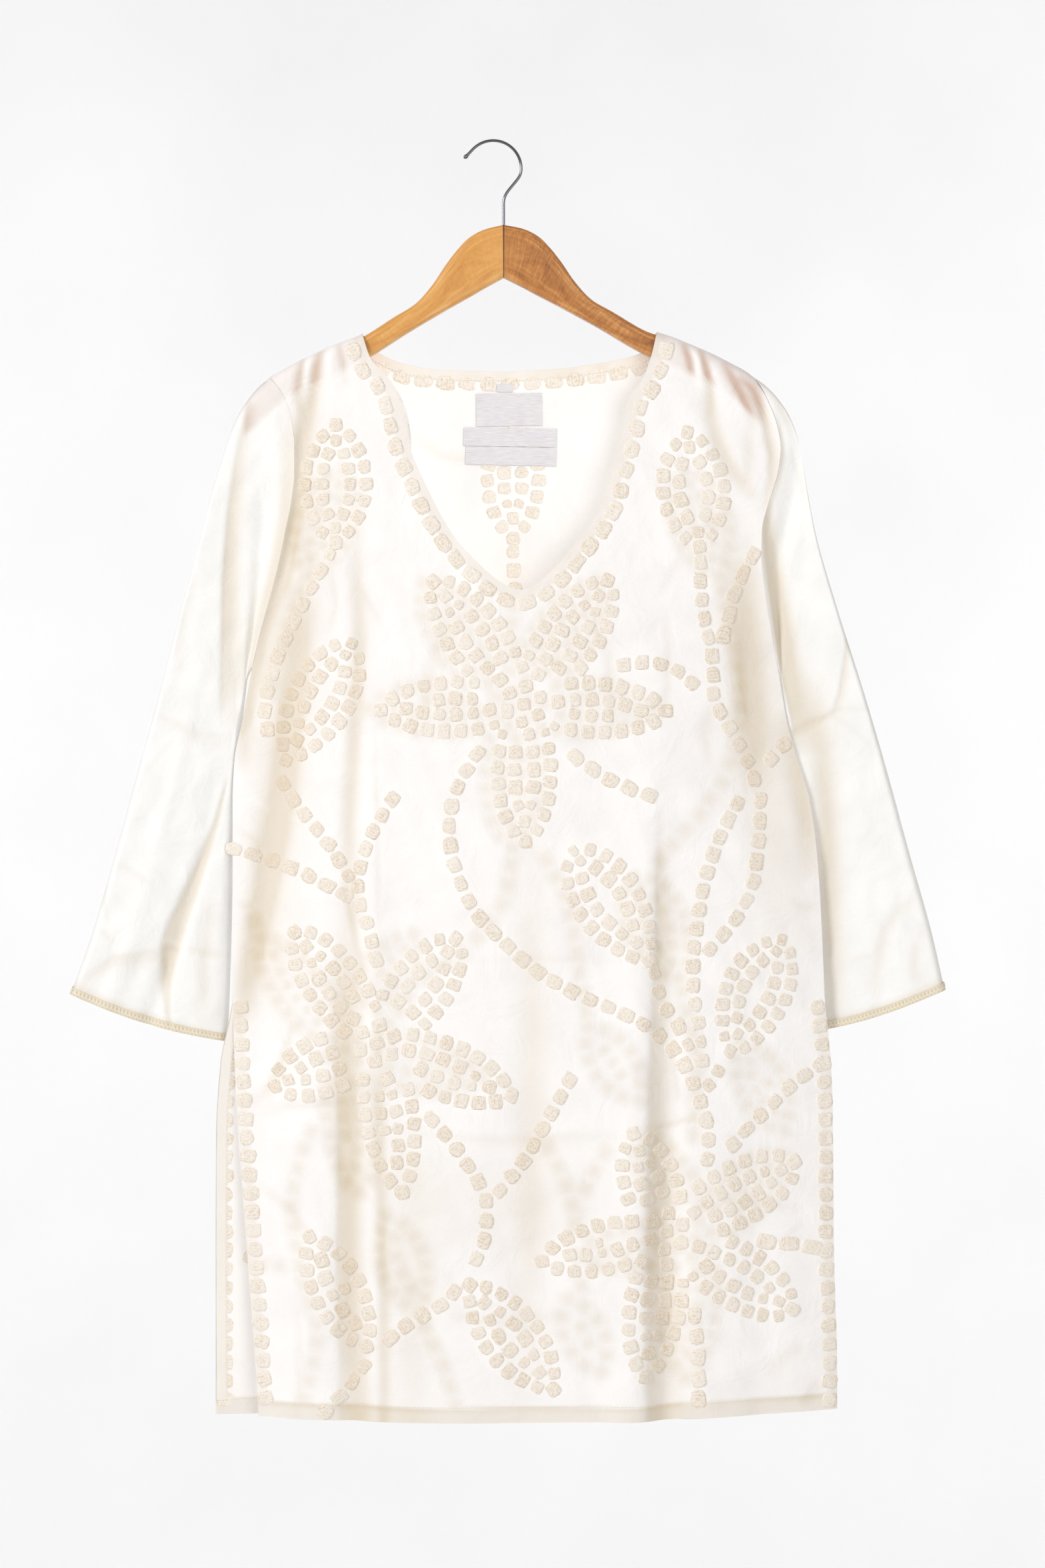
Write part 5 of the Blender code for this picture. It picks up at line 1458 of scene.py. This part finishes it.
def armPiece(name, side, material, node):
    # rounded-rectangle sections carried from the middle joint out to the tip
    rows = np.array(armSections)
    table = np.column_stack([np.arange(len(rows)), rows])
    at = np.linspace(0, len(rows) - 1, hanger["stations"])
    topOut, topZ, footOut, footZ, thick = smooth(table, at)[..., None]
    ring, power = hanger["ring"], 2 / hanger["squareness"]
    angle = np.arange(ring) * 2 * math.pi / ring
    up = squared(np.cos(angle), power)
    across = (topOut + footOut) / 2 + (topOut - footOut) / 2 * up + hanger["jointGap"]
    height = (topZ + footZ) / 2 + (topZ - footZ) / 2 * up + garment["hangerTilt"] * side * across
    y = hanger["halfThick"] * thick * squared(np.sin(angle), power)
    rings = np.stack([garment["stemX"] + side * across, y, height], axis=-1)
    middle = rings.mean(axis=1)
    run = travelled(middle)
    piece = newMesh(name, np.vstack([rings.reshape(-1, 3), middle[[0, -1]]]),
                    tubeFaces(len(rings), ring, side < 0), material, 50)
    # the pattern's second axis goes down one face and back up the other, so it meets itself
    u = np.repeat(run, ring) / 100
    v = np.tile(0.5 + 0.5 * np.cos(angle) + 0.3 * np.sin(angle), len(rings)) * 0.2
    ends = [(0, 0.1), (run[-1] / 100, 0.1)]
    setUv(piece, np.vstack([np.column_stack([u, v]), ends]))
    return finishPiece(piece, material.name.replace("beech", "beech_").lower(), node)


armPiece("hangerLeftArm", -1, honey, "hanger_left")
armPiece("hangerRightArm", 1, amber, "hanger_right")

# hook: an arc for the bowl, then a slanting neck down to the stem, in plated wire
hook = {"wire": 2.3, "bowlRadius": 22.5, "bowlX": -0.3, "from": 146.0, "to": -14.0, "tip": (-23.8, -13.4),
        "neck": ((19.6, -29.4), (13.8, -36.4), (9.2, -42.6), (7.8, -47.5), (8.0, -54.0), (8.0, -66.2)),
        "easing": 30,       # how many times the line is averaged with its neighbours
        "ball": 0.55, "ballAt": 2.2, "ballWide": 1.5, "tipRound": 1.4}
angles = np.radians(np.linspace(hook["from"], hook["to"], 90))
bowl = np.column_stack([hook["bowlX"] + hook["bowlRadius"] * np.cos(angles),
                        hook["wire"] / 2 - hook["bowlRadius"] + hook["bowlRadius"] * np.sin(angles)])
hookPath = along(np.vstack([hook["tip"], bowl, hook["neck"]]), np.linspace(0, 1, 150))
for _ in range(hook["easing"]):
    hookPath[1:-1] = (hookPath[:-2] + 2 * hookPath[1:-1] + hookPath[2:]) / 4
fromTip = travelled(hookPath)
tipBall = hook["ball"] * np.exp(-((fromTip - hook["ballAt"]) / hook["ballWide"]) ** 2)
tipRound = np.sqrt(np.clip(fromTip / hook["tipRound"], 0.02, 1))
hookPiece = tubePiece("hookWire", hookPath, hook["wire"] / 2 * (1 + tipBall) * tipRound, 24, wire)
finishPiece(hookPiece, "plated_wire", "hook")
print("hanger made")


# the stage, camera and lights are in metres
studio = {"floorZ": -2.7, "wallY": 5.2, "bend": 1.0, "halfWidth": 14.0, "frontY": -6.0, "height": 6.4}


def makeStage():
    # a pale paper floor that curves up into a wall behind, as one sheet
    bend = studio["bend"]
    turn = np.linspace(0, math.pi / 2, 16)
    wall = studio["wallY"]
    y = np.concatenate([[studio["frontY"]], wall - bend + bend * np.sin(turn), [wall]])
    z = np.concatenate([[0], bend * (1 - np.cos(turn)), [studio["height"]]]) + studio["floorZ"]
    x, y = np.meshgrid([-studio["halfWidth"], studio["halfWidth"]], y)
    grid = np.stack([x, y, np.broadcast_to(z[:, None], x.shape)], axis=-1) / mm
    # matt paper off a roll: near white, faintly mottled
    paper = newMaterial("backdropPaper", "#F7F7F6", 0.9)
    place = addNode(paper, "ShaderNodeTexCoord", output="Object")
    mottle = addNode(paper, "ShaderNodeTexNoise", {"Vector": place}, {"Scale": 2.0})
    lookOf(paper, addNode(paper, "ShaderNodeValToRGB", {"Fac": mottle},
                          stops=((0.3, "#F5F5F4"), (0.7, "#F9F9F8"))))
    newMesh("backdrop", grid, [gridQuads(len(y), 2)[:, ::-1]], paper)


def areaLight(name, place, aim, size, watts, hexColour):
    # a square soft box that points at its aim and isn't seen itself
    light = bpy.data.lights.new(name, "AREA")
    light.shape = "SQUARE"
    light.size = size
    light.energy = watts
    light.color = linear(hexColour)[:3]
    made = bpy.data.objects.new(name, light)
    made.location = place
    made.rotation_euler = (Vector(aim) - Vector(place)).to_track_quat("-Z", "Y").to_euler()
    made.visible_camera = False
    bpy.context.scene.collection.objects.link(made)
    return made


def pieceGroup(name, pieces):
    # a collection that lights can be kept to or kept off
    group = bpy.data.collections.new(name)
    for piece in pieces:
        group.objects.link(piece)
    return group


shot = {"lens": 74.86, "sensor": 36.0, "place": (0.02306, -2.6, -0.5121)}


def makeCamera():
    # level, looking along +Y
    data = bpy.data.cameras.new("camera")
    data.lens = shot["lens"]
    data.sensor_width = shot["sensor"]
    made = bpy.data.objects.new("camera", data)
    made.location = shot["place"]
    made.rotation_euler = (math.pi / 2, 0, 0)
    bpy.context.scene.collection.objects.link(made)
    bpy.context.scene.camera = made


makeStage()
# name: place, aim, size, watts, colour
lights = {
    "keyLight": ((-2.5, -2.3, 0.8), (0, 0, -0.5), 1.1, 67, "#FBFCFF"),
    "fillLight": ((1.6, -3.0, -0.1), (0, 0, -0.5), 2.0, 28, "#FFFFFF"),
    "wallLightLeft": ((-4.6, 2.0, 0.6), (0.5, 5.2, -0.6), 2.4, 106, "#F1F5FF"),
    "wallLightRight": ((4.6, 2.0, 0.6), (-0.5, 5.2, -0.6), 2.4, 106, "#F1F5FF"),
    "neckLight": ((0.0, -2.6, 0.1), (0, 0, -0.35), 1.2, 27, "#FFFFFF"),
}
linking = {name: areaLight(name, *row).light_linking for name, row in lights.items()}
wallOnly = pieceGroup("wallOnly", [bpy.data.objects["backdrop"]])
linking["wallLightLeft"].receiver_collection = wallOnly
linking["wallLightRight"].receiver_collection = wallOnly
# what shows inside the neck has its own light, and the key light leaves it out
innerPieces = [backCloth, *embroidery[2:], *[piece for piece in bpy.data.objects
               if piece.name.startswith(("label", "facingBack", "slitBack"))]]
insidePieces = pieceGroup("insidePieces", innerPieces)
linking["neckLight"].receiver_collection = insidePieces
linking["neckLight"].blocker_collection = insidePieces
outsideOnly = pieceGroup("outsideOnly", innerPieces)
for entry in outsideOnly.collection_objects:
    entry.light_linking.link_state = "EXCLUDE"
linking["keyLight"].receiver_collection = outsideOnly
world = bpy.data.worlds.new("studio")
world.use_nodes = True
background = world.node_tree.nodes["Background"]
background.inputs["Color"].default_value = linear("#FFF9F3")
background.inputs["Strength"].default_value = 0.47
bpy.context.scene.world = world
bpy.context.scene.view_settings.view_transform = "Standard"
makeCamera()
print("stage and camera made")
